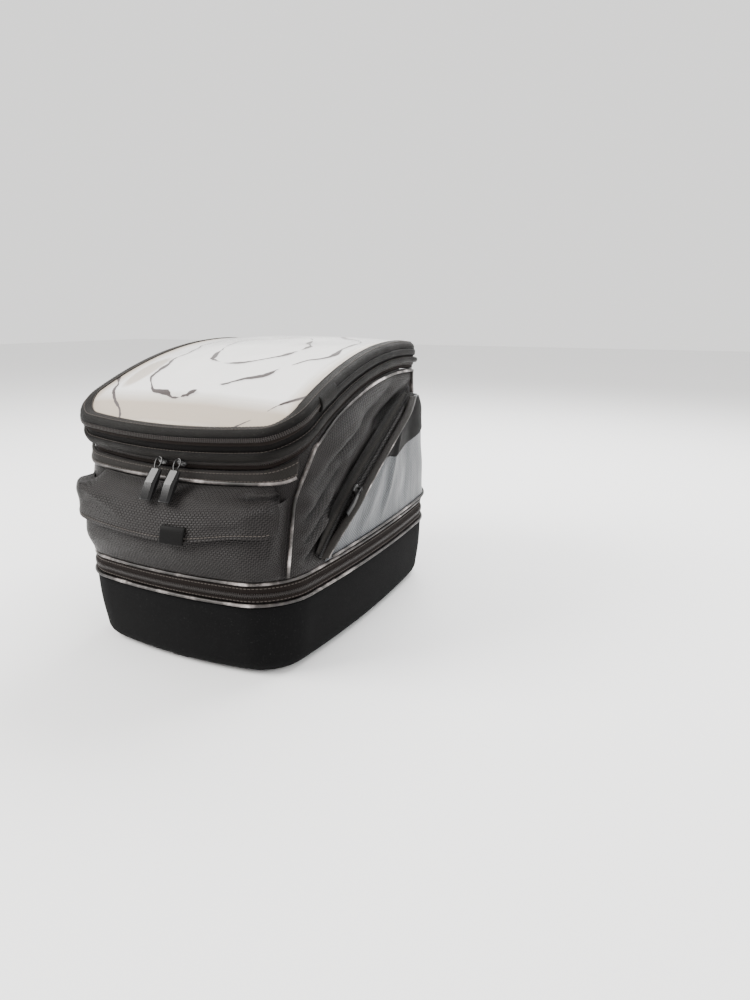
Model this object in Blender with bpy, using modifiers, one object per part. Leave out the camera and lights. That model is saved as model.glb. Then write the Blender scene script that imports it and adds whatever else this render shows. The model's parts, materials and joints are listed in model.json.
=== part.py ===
"""Motorcycle tank bag.

A moulded base tub carries a quick-release unit that locks onto the tank's filler ring.
Above it an expansion zip runs all round, then a sewn upper bag with a flapped front pocket,
a bellows pocket on each side and a carry handle. The arched lid opens on a zip and holds a map
pocket with a clear window. +Z is up, -Y faces the rider, +X is the bike's right. The origin is
the middle of the underside.
"""

import functools
import math

import bmesh
import bpy
from mathutils import Matrix, Vector

MM = 0.001
GAP = 0.3 * MM  # between pieces that touch
Y_MIDDLE = 8.4 * MM  # puts the outline's middle so that the whole bag is centred on the origin

# Points round a bag outline, for one half from the near middle to the far middle
NEAR_STEPS, NEAR_CORNER_STEPS, SIDE_STEPS, FAR_CORNER_STEPS, FAR_STEPS = 5, 6, 8, 6, 3
SIDE_START = NEAR_STEPS + NEAR_CORNER_STEPS
SIDE_END = SIDE_START + SIDE_STEPS
FAR_MIDDLE = SIDE_END + FAR_CORNER_STEPS + FAR_STEPS
RING_POINTS = 2 * FAR_MIDDLE

# Outlines, in millimetres: half widths, ends along Y, corner radii and how far the edges bow out
NEAR_BOW = 11.2
BAND = dict(halves=(104.5, 106.0), ends=(-158.7, 158.7), radii=(35, 66), side_bow=10.3)
LID_ZIP = dict(halves=(106.8, 103.7), ends=(-139.8, 125.2), radii=(26.8, 44.3), side_bow=-0.3)
MAP_ZIP = dict(halves=(110.7, 107.7), ends=(-147.6, 118.4), radii=(26.8, 44.3), side_bow=-0.3)
# Heights of those outlines at the near end, at the far end, and of the arch between them
LOWER_PIPING_Z = (63, 66, 0)
UPPER_PIPING_Z = (80, 88, 0)
LID_ZIP_Z = (174.2, 227.2, 25.1)
MAP_ZIP_Z = (192.5, 240.1, 22.9)

PIPING_R = 1.6 * MM
TAPE_T = 1.2 * MM
CHAIN_HALF = 2.1 * MM
SHELL_T = 2.5 * MM
FABRIC_T = 1.6 * MM


class Outline:
    """A closed outline of the bag in plan. Its height follows an arch along Y."""

    def __init__(self, plan, heights):
        self.halves = [MM * v for v in plan["halves"]]
        self.ends = [MM * v for v in plan["ends"]]
        self.radii = [MM * v for v in plan["radii"]]
        self.side_bow = MM * plan["side_bow"]
        self.heights = [MM * v for v in heights]
        self.spine = self.half_plan(0.0)

    def half_plan(self, grow):
        """The right half, from the near middle to the far middle, moved outwards by grow."""
        near, far = self.halves[0] + grow, self.halves[1] + grow
        y_near, y_far = self.ends[0] - grow, self.ends[1] + grow
        r_near, r_far = self.radii[0] + grow, self.radii[1] + grow
        points = [((near - r_near) * i / NEAR_STEPS, y_near) for i in range(NEAR_STEPS + 1)]
        for i in range(1, NEAR_CORNER_STEPS + 1):
            a = math.pi / 2 * (i / NEAR_CORNER_STEPS - 1)
            points.append((near - r_near + r_near * math.cos(a), y_near + r_near + r_near * math.sin(a)))
        for i in range(1, SIDE_STEPS + 1):
            t = i / SIDE_STEPS
            points.append((near + (far - near) * t, y_near + r_near + (y_far - r_far - y_near - r_near) * t))
        for i in range(1, FAR_CORNER_STEPS + 1):
            a = math.pi / 2 * i / FAR_CORNER_STEPS
            points.append((far - r_far + r_far * math.cos(a), y_far - r_far + r_far * math.sin(a)))
        for i in range(1, FAR_STEPS + 1):
            points.append(((far - r_far) * (1 - i / FAR_STEPS), y_far))
        return [self.bowed(x, y, near, y_near, y_far, r_near) for x, y in points]

    def bowed(self, x, y, near, y_near, y_far, r_near):
        t = min(max((y - y_near) / (y_far - y_near), 0), 1)
        bow_y = NEAR_BOW * MM * (1 - (x / near) ** 2) if y < y_near + 1.5 * r_near else 0
        bow_x = self.side_bow * 4 * t * (1 - t) * min(x / (0.7 * near), 1)
        return x + bow_x, y - max(bow_y, 0)

    def height(self, y):
        near, far, arch = self.heights
        t = (y - self.ends[0]) / (self.ends[1] - self.ends[0])
        return near + (far - near) * t + arch * 4 * t * (1 - t)

    @functools.lru_cache(maxsize=None)
    def points(self, grow=0.0, rise=0.0):
        """All round, counter-clockwise from the near middle, at the heights of the outline itself."""
        half = [
            Vector((x, y + Y_MIDDLE, self.height(spine_y) + rise))
            for (x, y), (_, spine_y) in zip(self.half_plan(grow), self.spine)
        ]
        other = [Vector((-p.x, p.y, p.z)) for p in reversed(half[1:-1])]
        return half + other

    def at(self, place, grow=0.0, rise=0.0):
        """The point at a place counted in points round the outline, minus on the left half."""
        ring = self.points(grow, rise)
        low = math.floor(place)
        return ring[low % RING_POINTS].lerp(ring[(low + 1) % RING_POINTS], place - low)


LOWER = Outline(BAND, LOWER_PIPING_Z)
UPPER = Outline(BAND, UPPER_PIPING_Z)
LID = Outline(LID_ZIP, LID_ZIP_Z)
MAP = Outline(MAP_ZIP, MAP_ZIP_Z)
UPPER_INSET = -1.5 * MM  # the upper bag is a little narrower than the base
SHELL_TOP = -5.5 * MM  # the upper bag's fabric ends this far below the lid zip


def wall(place, up, out=0.0):
    """A point on the upper bag's outside: place round it, up from 0 to 1, and out from the fabric."""
    low = UPPER.at(place, UPPER_INSET, PIPING_R + GAP)
    high = LID.at(place, 0, SHELL_TOP)
    point = low.lerp(high, up)
    return point + wall_normal(place, up) * out if out else point


def wall_normal(place, up):
    step = 0.25
    along = wall(place + step, up) - wall(place - step, up)
    rise = wall(place, 1) - wall(place, 0)
    return along.cross(rise).normalized()


# ---------------------------------------------------------------- modelling tools

for left_over in list(bpy.data.objects):
    bpy.data.objects.remove(left_over)

BAG = bpy.data.collections.new("tank_bag")
CUTTERS = bpy.data.collections.new("cutters")
for group in (BAG, CUTTERS):
    bpy.context.scene.collection.children.link(group)

COLOURS = {
    "eva": ((0.012, 0.012, 0.013), 0.85, 0),
    "nylon": ((0.022, 0.021, 0.022), 0.7, 0),
    "binding": ((0.015, 0.014, 0.015), 0.6, 0),
    "zip_tape": ((0.03, 0.024, 0.022), 0.75, 0),
    "zip_teeth": ((0.035, 0.032, 0.03), 0.45, 0),
    "reflective_piping": ((0.55, 0.54, 0.54), 0.35, 0),
    "side_fabric": ((0.22, 0.24, 0.26), 0.4, 0),
    "smooth_black": ((0.012, 0.012, 0.012), 0.5, 0),
    "window": ((0.8, 0.8, 0.78), 0.08, 0),
    "webbing": ((0.014, 0.014, 0.014), 0.8, 0),
    "slider_metal": ((0.04, 0.04, 0.04), 0.3, 0.8),
    "pull_tab": ((0.02, 0.02, 0.02), 0.2, 0),
    "hard_plastic": ((0.025, 0.025, 0.025), 0.5, 0),
    "steel": ((0.5, 0.5, 0.5), 0.35, 1),
    "foam_board": ((0.05, 0.05, 0.05), 0.9, 0),
    "gusset_fabric": ((0.03, 0.03, 0.03), 0.8, 0),
}
materials = {}
for material_name, (colour, roughness, metallic) in COLOURS.items():
    material = bpy.data.materials.new(material_name)
    material.use_nodes = True
    shader = material.node_tree.nodes["Principled BSDF"]
    shader.inputs["Base Color"].default_value = (*colour, 1)
    shader.inputs["Roughness"].default_value = roughness
    shader.inputs["Metallic"].default_value = metallic
    materials[material_name] = material


def pivot(name, place):
    """An empty on a joint's axis, which carries the pieces of a moving body."""
    empty = bpy.data.objects.new(name, None)
    empty.location = place
    BAG.objects.link(empty)
    bpy.context.view_layer.update()
    return empty


def place_piece(obj, colour, body=None, collection=BAG):
    """Files a new object, gives it its material and hangs it on its body's pivot."""
    collection.objects.link(obj)
    obj.data.materials.append(materials[colour])
    if body:
        obj.parent = body
        obj.matrix_parent_inverse = body.matrix_world.inverted()
    return obj


def from_bmesh(name, bm, colour, body=None):
    mesh = bpy.data.meshes.new(name)
    bm.to_mesh(mesh)
    bm.free()
    return place_piece(bpy.data.objects.new(name, mesh), colour, body)


def skin(rows, round_rows=False, round_columns=False, flip=False):
    """A bmesh of four-sided faces over rows of points, closed either way if asked."""
    bm = bmesh.new()
    grid = [[bm.verts.new(p) for p in row] for row in rows]
    row_count, column_count = len(rows), len(rows[0])
    for r in range(row_count if round_rows else row_count - 1):
        for c in range(column_count if round_columns else column_count - 1):
            r2, c2 = (r + 1) % row_count, (c + 1) % column_count
            corners = [grid[r][c], grid[r][c2], grid[r2][c2], grid[r2][c]]
            bm.faces.new(reversed(corners) if flip else corners)
    return bm, grid


def thicken(obj, thickness):
    """Makes a skin solid, inwards from its outer face."""
    solidify = obj.modifiers.new("thickness", "SOLIDIFY")
    solidify.thickness = thickness
    solidify.offset = -1
    return obj


def hoop(name, rows, thickness, colour, body=None):
    """A wall that runs all round the bag, through rows listed from the bottom up."""
    bm, _ = skin(rows, round_columns=True)
    return thicken(from_bmesh(name, bm, colour, body), thickness)


def patch(name, rows, thickness, colour, body=None, mirrored=False):
    """A sheet lying on the bag. A mirrored one is the left side's twin of a right-hand sheet."""
    if mirrored:
        rows = [[Vector((-p.x, p.y, p.z)) for p in row] for row in rows]
    bm, _ = skin(rows, flip=mirrored)
    return thicken(from_bmesh(name, bm, colour, body), thickness)


def strip(name, sections, colour, body=None, closed=False, mirrored=False):
    """A solid run along sections, each a loop of points round its cross-section."""
    if mirrored:
        sections = [[Vector((-p.x, p.y, p.z)) for p in section] for section in sections]
    bm, grid = skin(sections, round_rows=closed, round_columns=True, flip=mirrored)
    if not closed:
        bm.faces.new(list(reversed(grid[0])) if not mirrored else grid[0])
        bm.faces.new(grid[-1] if not mirrored else list(reversed(grid[-1])))
    bmesh.ops.recalc_face_normals(bm, faces=bm.faces)
    return from_bmesh(name, bm, colour, body)


def tube(name, route, radius, colour, body=None, closed=False, sides_level=0):
    """A round cord or wire through points."""
    curve = bpy.data.curves.new(name, "CURVE")
    curve.dimensions = "3D"
    curve.bevel_depth = radius
    curve.bevel_resolution = sides_level
    curve.use_fill_caps = not closed
    spline = curve.splines.new("POLY")
    spline.points.add(len(route) - 1)
    for point, place in zip(spline.points, route):
        point.co = (*place, 1)
    spline.use_cyclic_u = closed
    return place_piece(bpy.data.objects.new(name, curve), colour, body)


def plate(name, outlines, thickness, frame, colour, body=None):
    """A flat plate, standing equally either side of its frame: its outline, then any holes in it."""
    curve = bpy.data.curves.new(name, "CURVE")
    curve.dimensions = "2D"
    curve.fill_mode = "BOTH"
    curve.extrude = thickness / 2
    for outline in outlines:
        spline = curve.splines.new("POLY")
        spline.points.add(len(outline) - 1)
        for point, (across, along) in zip(spline.points, outline):
            point.co = (across, along, 0, 1)
        spline.use_cyclic_u = True
    obj = bpy.data.objects.new(name, curve)
    obj.matrix_world = frame
    return place_piece(obj, colour, body)


def as_mesh(obj):
    """Turns a curve object into a mesh object of the same name, welded shut."""
    bpy.context.view_layer.update()
    evaluated = obj.evaluated_get(bpy.context.evaluated_depsgraph_get())
    mesh = bpy.data.meshes.new_from_object(evaluated)
    bm = bmesh.new()
    bm.from_mesh(mesh)
    bmesh.ops.remove_doubles(bm, verts=bm.verts, dist=0.01 * MM)
    bmesh.ops.recalc_face_normals(bm, faces=bm.faces)
    bm.to_mesh(mesh)
    bm.free()
    name, parent, world = obj.name, obj.parent, obj.matrix_world.copy()
    inverse = obj.matrix_parent_inverse.copy()
    bpy.data.objects.remove(obj)
    solid = bpy.data.objects.new(name, mesh)
    BAG.objects.link(solid)
    solid.parent = parent
    solid.matrix_parent_inverse = inverse
    solid.matrix_world = world
    return solid


def cylinder_mesh(bm, radius, low, high, centre=(0, 0), sides=32):
    """A closed upright cylinder between two heights."""
    middle = Matrix.Translation((centre[0], centre[1], (low + high) / 2))
    bmesh.ops.create_cone(
        bm, cap_ends=True, segments=sides, radius1=radius, radius2=radius, depth=high - low, matrix=middle
    )


def block_mesh(bm, low, high):
    """A box between two corners."""
    low, high = Vector(low), Vector(high)
    size = Matrix.Diagonal((*(high - low), 1))
    bmesh.ops.create_cube(bm, size=1, matrix=Matrix.Translation((low + high) / 2) @ size)


def cut(obj, tool_name, build_tool):
    """Takes a closed tool shape out of an object."""
    bm = bmesh.new()
    build_tool(bm)
    mesh = bpy.data.meshes.new(tool_name)
    bm.to_mesh(mesh)
    bm.free()
    tool = bpy.data.objects.new(tool_name, mesh)
    CUTTERS.objects.link(tool)
    tool.hide_render = True
    tool.display_type = "WIRE"
    boolean = obj.modifiers.new(tool_name, "BOOLEAN")
    boolean.operation = "DIFFERENCE"
    boolean.object = tool


def turn_frame(origin, across, along):
    """A matrix whose X is across, Y is along and Z points off their plane."""
    x_axis = Vector(across).normalized()
    z_axis = x_axis.cross(Vector(along)).normalized()
    y_axis = z_axis.cross(x_axis)
    return Matrix.Translation(origin) @ Matrix((x_axis, y_axis, z_axis)).transposed().to_4x4()


# ---------------------------------------------------------------- base and quick release

FILLET_R = 14 * MM
FILLET_STEPS = 3
ROUND_SIDES = 28  # of the lock's turned shapes
WALL_FOOT = -5 * MM
TUB_T = 4 * MM
LOCK_Y = Y_MIDDLE
DRUM_R = 61.7 * MM
DOME_R = 46.5 * MM
RING_RECESS_R = 43 * MM
RING_RECESS_TOP = 10 * MM
UNDERSIDE_CLEAR = 0.4 * MM
LATCH_LOW, LATCH_HIGH, LATCH_HALF = 1.0 * MM, 3.4 * MM, 10 * MM
SCREW_CIRCLE = 54 * MM


def level(outline, grow, z):
    return [Vector((p.x, p.y, z)) for p in outline.points(grow)]


def make_base():
    rows = []
    for i in range(FILLET_STEPS + 1):
        a = math.pi / 2 * (i / FILLET_STEPS - 1)
        grow = WALL_FOOT - FILLET_R + FILLET_R * math.cos(a)
        rows.append(level(LOWER, grow, FILLET_R + FILLET_R * math.sin(a)))
    rows.append(LOWER.points(-1.2 * MM, -PIPING_R - GAP))
    bm, grid = skin(rows, round_columns=True)
    bm.faces.new(list(reversed(grid[0])))
    tub = thicken(from_bmesh("base_tub", bm, "eva"), TUB_T)

    def lock_hole(bm):
        cylinder_mesh(bm, DRUM_R + GAP, -5 * MM, 10 * MM, (0, LOCK_Y), ROUND_SIDES)

    def strap_groove(bm):
        block_mesh(bm, (-9.5 * MM, -170 * MM, -2 * MM), (9.5 * MM, LOCK_Y - DRUM_R + 3 * MM, 3 * MM))

    cut(tub, "lock_hole", lock_hole)
    cut(tub, "strap_groove", strap_groove)

    outline = [(p.x, p.y) for p in LOWER.points(-26 * MM)]
    thickness = 2 * MM
    lift = TUB_T + GAP + thickness / 2
    board = as_mesh(plate("base_plate", [outline], thickness, Matrix.Translation((0, 0, lift)), "foam_board"))

    def plate_holes(bm):
        cylinder_mesh(bm, DOME_R + GAP, 2 * MM, 9 * MM, (0, LOCK_Y), ROUND_SIDES)
        for x, y in screw_places():
            cylinder_mesh(bm, 2.8 * MM, 2 * MM, 9 * MM, (x, y), 16)

    cut(board, "plate_holes", plate_holes)
    return tub


def screw_places():
    for i in range(4):
        a = math.pi / 4 + i * math.pi / 2
        yield SCREW_CIRCLE * math.cos(a), LOCK_Y + SCREW_CIRCLE * math.sin(a)


def make_lock():
    """The quick-release unit: a housing over the tank ring, a sprung latch and its pull strap."""
    profile = [
        (RING_RECESS_R, UNDERSIDE_CLEAR),
        (DRUM_R, UNDERSIDE_CLEAR),
        (DRUM_R, TUB_T),
        (DOME_R, TUB_T),
        (DOME_R, RING_RECESS_TOP + 2.5 * MM),
        (0.0, RING_RECESS_TOP + 2.5 * MM),
        (0.0, RING_RECESS_TOP),
        (RING_RECESS_R, RING_RECESS_TOP),
    ]
    sides = ROUND_SIDES
    bm = bmesh.new()
    rows = []
    for r, z in profile:
        if r == 0.0:
            rows.append([bm.verts.new((0, LOCK_Y, z))] * sides)
            continue
        turn = [2 * math.pi * i / sides for i in range(sides)]
        rows.append([bm.verts.new((r * math.cos(a), LOCK_Y + r * math.sin(a), z)) for a in turn])
    for k, row in enumerate(rows):
        after = rows[(k + 1) % len(rows)]
        for i in range(sides):
            j = (i + 1) % sides
            loop = [row[i], row[j], after[j], after[i]]
            loop = [v for n, v in enumerate(loop) if v not in loop[:n]]
            if len(loop) > 2:
                bm.faces.new(loop)
    bmesh.ops.recalc_face_normals(bm, faces=bm.faces)
    housing = from_bmesh("lock_housing", bm, "hard_plastic")

    def latch_channel(bm):
        block_mesh(
            bm,
            (-LATCH_HALF - GAP, LOCK_Y - DRUM_R - 5 * MM, -1 * MM),
            (LATCH_HALF + GAP, LOCK_Y - RING_RECESS_R + 4 * MM, LATCH_HIGH + 0.2 * MM),
        )

    def thread_holes(bm):
        for x, y in screw_places():
            cylinder_mesh(bm, 2.8 * MM, 1.3 * MM, 8 * MM, (x, y), 16)

    cut(housing, "latch_channel", latch_channel)
    cut(housing, "thread_holes", thread_holes)

    for i, (x, y) in enumerate(screw_places()):
        bm = bmesh.new()
        cylinder_mesh(bm, 2.5 * MM, 1.6 * MM, 8 * MM, (x, y), 12)
        screw = from_bmesh(f"lock_screw_{i + 1}", bm, "steel")
        bm = bmesh.new()
        head_low = TUB_T + 2 * MM + 2 * GAP
        cylinder_mesh(bm, 4.6 * MM, head_low, head_low + 2.6 * MM, (x, y), 12)
        head_mesh = bpy.data.meshes.new("screw_head")
        bm.to_mesh(head_mesh)
        bm.free()
        head = bpy.data.objects.new(f"screw_head_{i + 1}", head_mesh)
        CUTTERS.objects.link(head)
        head.hide_render = True
        head.display_type = "WIRE"
        join = screw.modifiers.new("head", "BOOLEAN")
        join.operation = "UNION"
        join.object = head

    body = pivot("lock_latch_pivot", (0, LOCK_Y - 50 * MM, LATCH_LOW))
    nose, tail = LOCK_Y - 38 * MM, LOCK_Y - 56 * MM
    bm = bmesh.new()
    block_mesh(bm, (-LATCH_HALF, tail, LATCH_LOW), (LATCH_HALF, nose, LATCH_HIGH))
    latch = from_bmesh("lock_latch", bm, "hard_plastic", body)

    def spring_window(bm):
        block_mesh(bm, (-2.2 * MM, LOCK_Y - 54 * MM, 0), (2.2 * MM, LOCK_Y - 44 * MM, 5 * MM))

    cut(latch, "spring_window", spring_window)
    turns, points_a_turn, coil_r, length = 5, 8, 0.8 * MM, 8.6 * MM
    middle = (LATCH_LOW + LATCH_HIGH) / 2
    coil = []
    for i in range(turns * points_a_turn + 1):
        a = 2 * math.pi * i / points_a_turn
        along = LOCK_Y - 53.3 * MM + length * i / (turns * points_a_turn)
        coil.append((coil_r * math.cos(a), along, middle + coil_r * math.sin(a)))
    tube("lock_spring", coil, 0.25 * MM, "steel", body)
    strap_low, strap_high, strap_end = 1.0 * MM, 2.4 * MM, -149 * MM
    bm = bmesh.new()
    block_mesh(bm, (-8 * MM, strap_end, strap_low), (8 * MM, tail - GAP, strap_high))
    from_bmesh("release_strap", bm, "webbing", body)


# ---------------------------------------------------------------- expansion band

BAND_MIDDLE = 0.47  # height of the teeth between the two pipings


def band_row(grow, share, rise=0.0):
    """A level of the band: share 0 at the lower piping and 1 at the upper one."""
    low = LOWER.points(grow)
    high = UPPER.points(grow)
    return [a.lerp(b, share) + Vector((0, 0, rise)) for a, b in zip(low, high)]


def zip_half(name, low_row, high_row, teeth_out, teeth_on_top, body=None):
    """A zip's tape with its row of teeth along one edge, all round the bag between two levels."""
    sections = []
    for low, high in zip(low_row, high_row):
        out = Vector((low.x, low.y - Y_MIDDLE, 0)).normalized()
        tape_edge, tooth_edge = (low, high) if teeth_on_top else (high, low)
        step = Vector((0, 0, CHAIN_HALF if teeth_on_top else -CHAIN_HALF))
        root = tooth_edge - step
        sections.append([
            tape_edge, root, root + out * teeth_out, tooth_edge + out * teeth_out,
            tooth_edge - out * TAPE_T, tape_edge - out * TAPE_T,
        ])
    return strip(name, sections, "zip_tape", body, closed=True)


def make_band(upper):
    tape_in = -1.6 * MM
    clear = PIPING_R + GAP
    split = 0.2 * MM
    teeth_out = 0.8 * MM
    tube("lower_piping", LOWER.points(-0.6 * MM), PIPING_R, "reflective_piping", closed=True)
    zip_half("expansion_zip_lower", band_row(tape_in, 0, clear), band_row(tape_in, BAND_MIDDLE, -split),
             teeth_out, True)
    zip_half("expansion_zip_upper", band_row(tape_in, BAND_MIDDLE, split), band_row(tape_in, 1, -clear),
             teeth_out, False, upper)
    tube("upper_piping", UPPER.points(UPPER_INSET - 0.4 * MM), PIPING_R, "reflective_piping", upper, closed=True)
    gusset_in = -6.5 * MM
    hoop("expansion_gusset", [band_row(gusset_in, 0, -4 * MM), band_row(gusset_in, 1, 6 * MM)],
         0.8 * MM, "gusset_fabric")

    # The zip slider of the band runs on the straight middle of the far side
    start = 24 * MM
    face = band_row(tape_in + teeth_out, BAND_MIDDLE)[FAR_MIDDLE].y
    height = band_row(0, BAND_MIDDLE)[FAR_MIDDLE].z
    slider = pivot("expansion_slider_pivot", (start, face, height))
    make_slider("expansion", Vector((start, face, height)), Vector((-1, 0, 0)), Vector((0, 1, 0)), slider,
                tab_length=20 * MM, tab_width=7 * MM)


# ---------------------------------------------------------------- zip sliders and pulls

SLIDER_W, SLIDER_L, SLIDER_T = 6.6 * MM, 8 * MM, 2.2 * MM
EYE_R, EYE_RIM, TAB_T = 1.8 * MM, 1.2 * MM, 1.8 * MM


def make_slider(name, place, along, out, slider_body, tab_length, tab_width, hang=None):
    """A slider outside the teeth, and a pull tab that swings on the eye at its top."""
    along, out = along.normalized(), out.normalized()
    across = out.cross(along).normalized()
    stand = 3 * GAP
    centre = place + out * (SLIDER_T / 2 + stand)
    half_l, half_w = SLIDER_L / 2, SLIDER_W / 2
    nose = half_w * 0.6
    outline = [(-half_l, -nose), (-half_l * 0.3, -half_w), (half_l, -half_w),
               (half_l, half_w), (-half_l * 0.3, half_w), (-half_l, nose)]
    plate(name + "_slider", [outline], SLIDER_T, turn_frame(centre, along, across), "slider_metal", slider_body)

    hang = (hang or Vector((0, 0, -1))).normalized()
    side = hang.cross(out).normalized()
    rim = EYE_R + EYE_RIM
    hinge_at = place + out * (stand + SLIDER_T + GAP + math.hypot(rim, TAB_T / 2))
    pull_body = pivot(name + "_pull_pivot", hinge_at)
    pull_body.parent = slider_body
    pull_body.matrix_parent_inverse = slider_body.matrix_world.inverted()
    bpy.context.view_layer.update()
    tab = [(rim * math.cos(a), -rim * math.sin(a)) for a in (math.pi * i / 6 for i in range(7))]
    tab += [(-rim, 1.5 * rim), (-tab_width / 2, 2.2 * rim), (-tab_width / 2, tab_length),
            (tab_width / 2, tab_length), (tab_width / 2, 2.2 * rim), (rim, 1.5 * rim)]
    eye = [(EYE_R * math.cos(2 * math.pi * i / 8), EYE_R * math.sin(2 * math.pi * i / 8)) for i in range(8)]
    plate(name + "_pull", [tab, eye], TAB_T, turn_frame(hinge_at, side, hang), "pull_tab", pull_body)


# ---------------------------------------------------------------- upper bag

NEAR_PLACE = 8.6  # where the front pieces end, in points from the near middle


def near_row(up, out, reach=NEAR_PLACE, count=18):
    """A level row across the near wall."""
    return [wall(-reach + 2 * reach * i / count, up, out) for i in range(count + 1)]


def corner_place(up):
    """The corner seam runs straight up, then turns back along the lid zip."""
    turn_from = 0.78
    start, end = 8.8, 11.2
    if up < turn_from:
        return start
    return start + (end - start) * ((up - turn_from) / (1 - turn_from)) ** 1.5


def make_upper(upper):
    hoop("side_shell", [[wall(i, up) for i in range(RING_POINTS)] for up in (0, 0.5, 1)],
         SHELL_T, "nylon", upper)
    zip_half("lid_zip_lower", LID.points(0, SHELL_TOP + 2 * GAP), LID.points(0, -0.2 * MM), 0.7 * MM, True, upper)
    patch("header_band", [near_row(up, 0.5 * MM + TAPE_T) for up in (0.9, 0.985)], TAPE_T, "binding", upper)
    tube("header_piping", near_row(0.875, PIPING_R * 0.8 + GAP), 1.2 * MM, "reflective_piping", upper)
    for side, sign in (("right", 1), ("left", -1)):
        route = []
        for i in range(13):
            up = 0.015 + 0.965 * i / 12
            route.append(wall(sign * (corner_place(up) + 0.35), up, 1.2 * MM + 2 * GAP))
        tube("corner_piping_" + side, route, 1.2 * MM, "reflective_piping", upper)


# Front pocket: depth of the pouch off the near wall by height, and its softened ends
POCKET_REACH = 8.2
POCKET_TOP = 0.68
POCKET_DEPTH = 14 * MM
FLAP_GAP = 2.7 * MM
HINGE_UP = 0.58
FLAP_END_UP = 0.385
FLAP_HINGE_GAP = 0.004  # between the flap's still top and its moving part, as a share of the wall
FLAP_TOP_ROWS = ((0.7, 0.97), (0.76, 0.82), (0.815, 0.5))  # share up the wall, share of the flap's full depth
FLAP_SEAM = (0.85, 0.5 * MM)  # share up the wall, and how far off it the seam lies
VELCRO_UPS, VELCRO_HALF, VELCRO_T = (0.4, 0.54), 2.6, 0.9 * MM
TAB_UPS, TAB_PLACE, TAB_HALF, TAB_THICK = (0.32, 0.46), 1.45, 0.72, 1.2 * MM


def end_share(i, count):
    """0 at the ends of a row and 1 over its middle."""
    edge = 2.0
    return min(1, min(i, count - i) / edge)


def pouch_row(up, depth, count=18):
    row = []
    for i in range(count + 1):
        place = -POCKET_REACH + 2 * POCKET_REACH * i / count
        seam = 0.5 * MM + FABRIC_T
        out = seam + (depth - seam) * end_share(i, count)
        row.append(wall(place, up, out))
    return row


def flap_row(up, out, reach=7.4, count=16):
    return [wall(-reach + 2 * reach * i / count, up, out) for i in range(count + 1)]


def make_front_pocket(upper):
    deep = POCKET_DEPTH
    rows = [pouch_row(0.02, 1 * MM + FABRIC_T), pouch_row(0.08, deep * 0.7), pouch_row(0.2, deep),
            pouch_row(0.42, deep), pouch_row(POCKET_TOP, deep)]
    patch("front_pocket", rows, FABRIC_T, "nylon", upper)
    over = deep + FLAP_GAP + FABRIC_T
    seam_up, seam_out = FLAP_SEAM
    rows = [flap_row(HINGE_UP + FLAP_HINGE_GAP, over)]
    rows += [flap_row(up, over * share) for up, share in FLAP_TOP_ROWS]
    rows.append(flap_row(seam_up, seam_out + FABRIC_T))
    patch("flap_top", rows, FABRIC_T, "nylon", upper)

    hinge_at = wall(0, HINGE_UP, over)
    body = pivot("pocket_flap_pivot", hinge_at)
    rows = [flap_row(FLAP_END_UP, over), flap_row(HINGE_UP, over)]
    patch("pocket_flap", rows, FABRIC_T, "nylon", body)

    def velcro_row(up, out):
        return [wall(VELCRO_HALF * (i / 2 - 1), up, out) for i in range(5)]

    hook_out = deep + GAP + VELCRO_T + 0.1 * MM
    patch("velcro_hook", [velcro_row(up, hook_out) for up in VELCRO_UPS], VELCRO_T, "webbing", upper)
    loop_out = over - FABRIC_T - GAP
    patch("velcro_loop", [velcro_row(up, loop_out) for up in VELCRO_UPS], VELCRO_T, "webbing", body)

    tab_rows = []
    for up in TAB_UPS:
        row = [wall(TAB_PLACE + TAB_HALF * i, up, over + GAP + TAB_THICK) for i in (-1, 0, 1)]
        tab_rows.append(row)
    patch("flap_tab", tab_rows, TAB_THICK, "smooth_black", body)


# Side pockets: a bellows panel between the bottom seam, the far corner and a slanting zip
PANEL_FAR = 21.5
PANEL_EDGE = ((-104, 85), (-58, 137), (21, 167), (83, 200))  # bends of its front edge, as (y, z) in millimetres
PANEL_COLUMNS, PANEL_ROWS = 8, 8
PANEL_PUFF = 5.5 * MM
PANEL_STAND = 1.8 * MM
PATCH_LIFT = 3.4 * MM  # outer face of the patch above the panel, which is curved more finely


@functools.lru_cache(maxsize=None)
def wall_place(y, z):
    """Finds the place round the right side and the share up the wall for a given y and z."""
    place, up, step = 15.0, 0.4, 0.05
    for _ in range(12):
        here = wall(place, up)
        by_place = (wall(place + step, up) - here) / step
        by_up = (wall(place, up + step) - here) / step
        dy, dz = y - here.y, z - here.z
        scale = by_place.y * by_up.z - by_up.y * by_place.z
        place += (dy * by_up.z - dz * by_up.y) / scale
        up += (dz * by_place.y - dy * by_place.z) / scale
    return place, up


def panel_edge(t):
    """The slanting front edge of the side panel, from its foot (0) to its head (1)."""
    foot, low_bend, high_bend, head = (Vector(p) * MM for p in PANEL_EDGE)
    y, z = (foot * (1 - t) ** 3 + low_bend * 3 * t * (1 - t) ** 2
            + high_bend * 3 * t ** 2 * (1 - t) + head * t ** 3)
    return wall_place(y + Y_MIDDLE, z)


def panel_point(across, t, out=0.0):
    start, up = panel_edge(t)
    place = start + (PANEL_FAR - start) * across
    puff = PANEL_PUFF * math.sin(math.pi / 2 * min(t / 0.3, 1)) * (1 - across) ** 0.6
    return wall(place, up, PANEL_STAND + FABRIC_T + puff + out)


def mirrored_points(points):
    return [Vector((-p.x, p.y, p.z)) for p in points]


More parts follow.
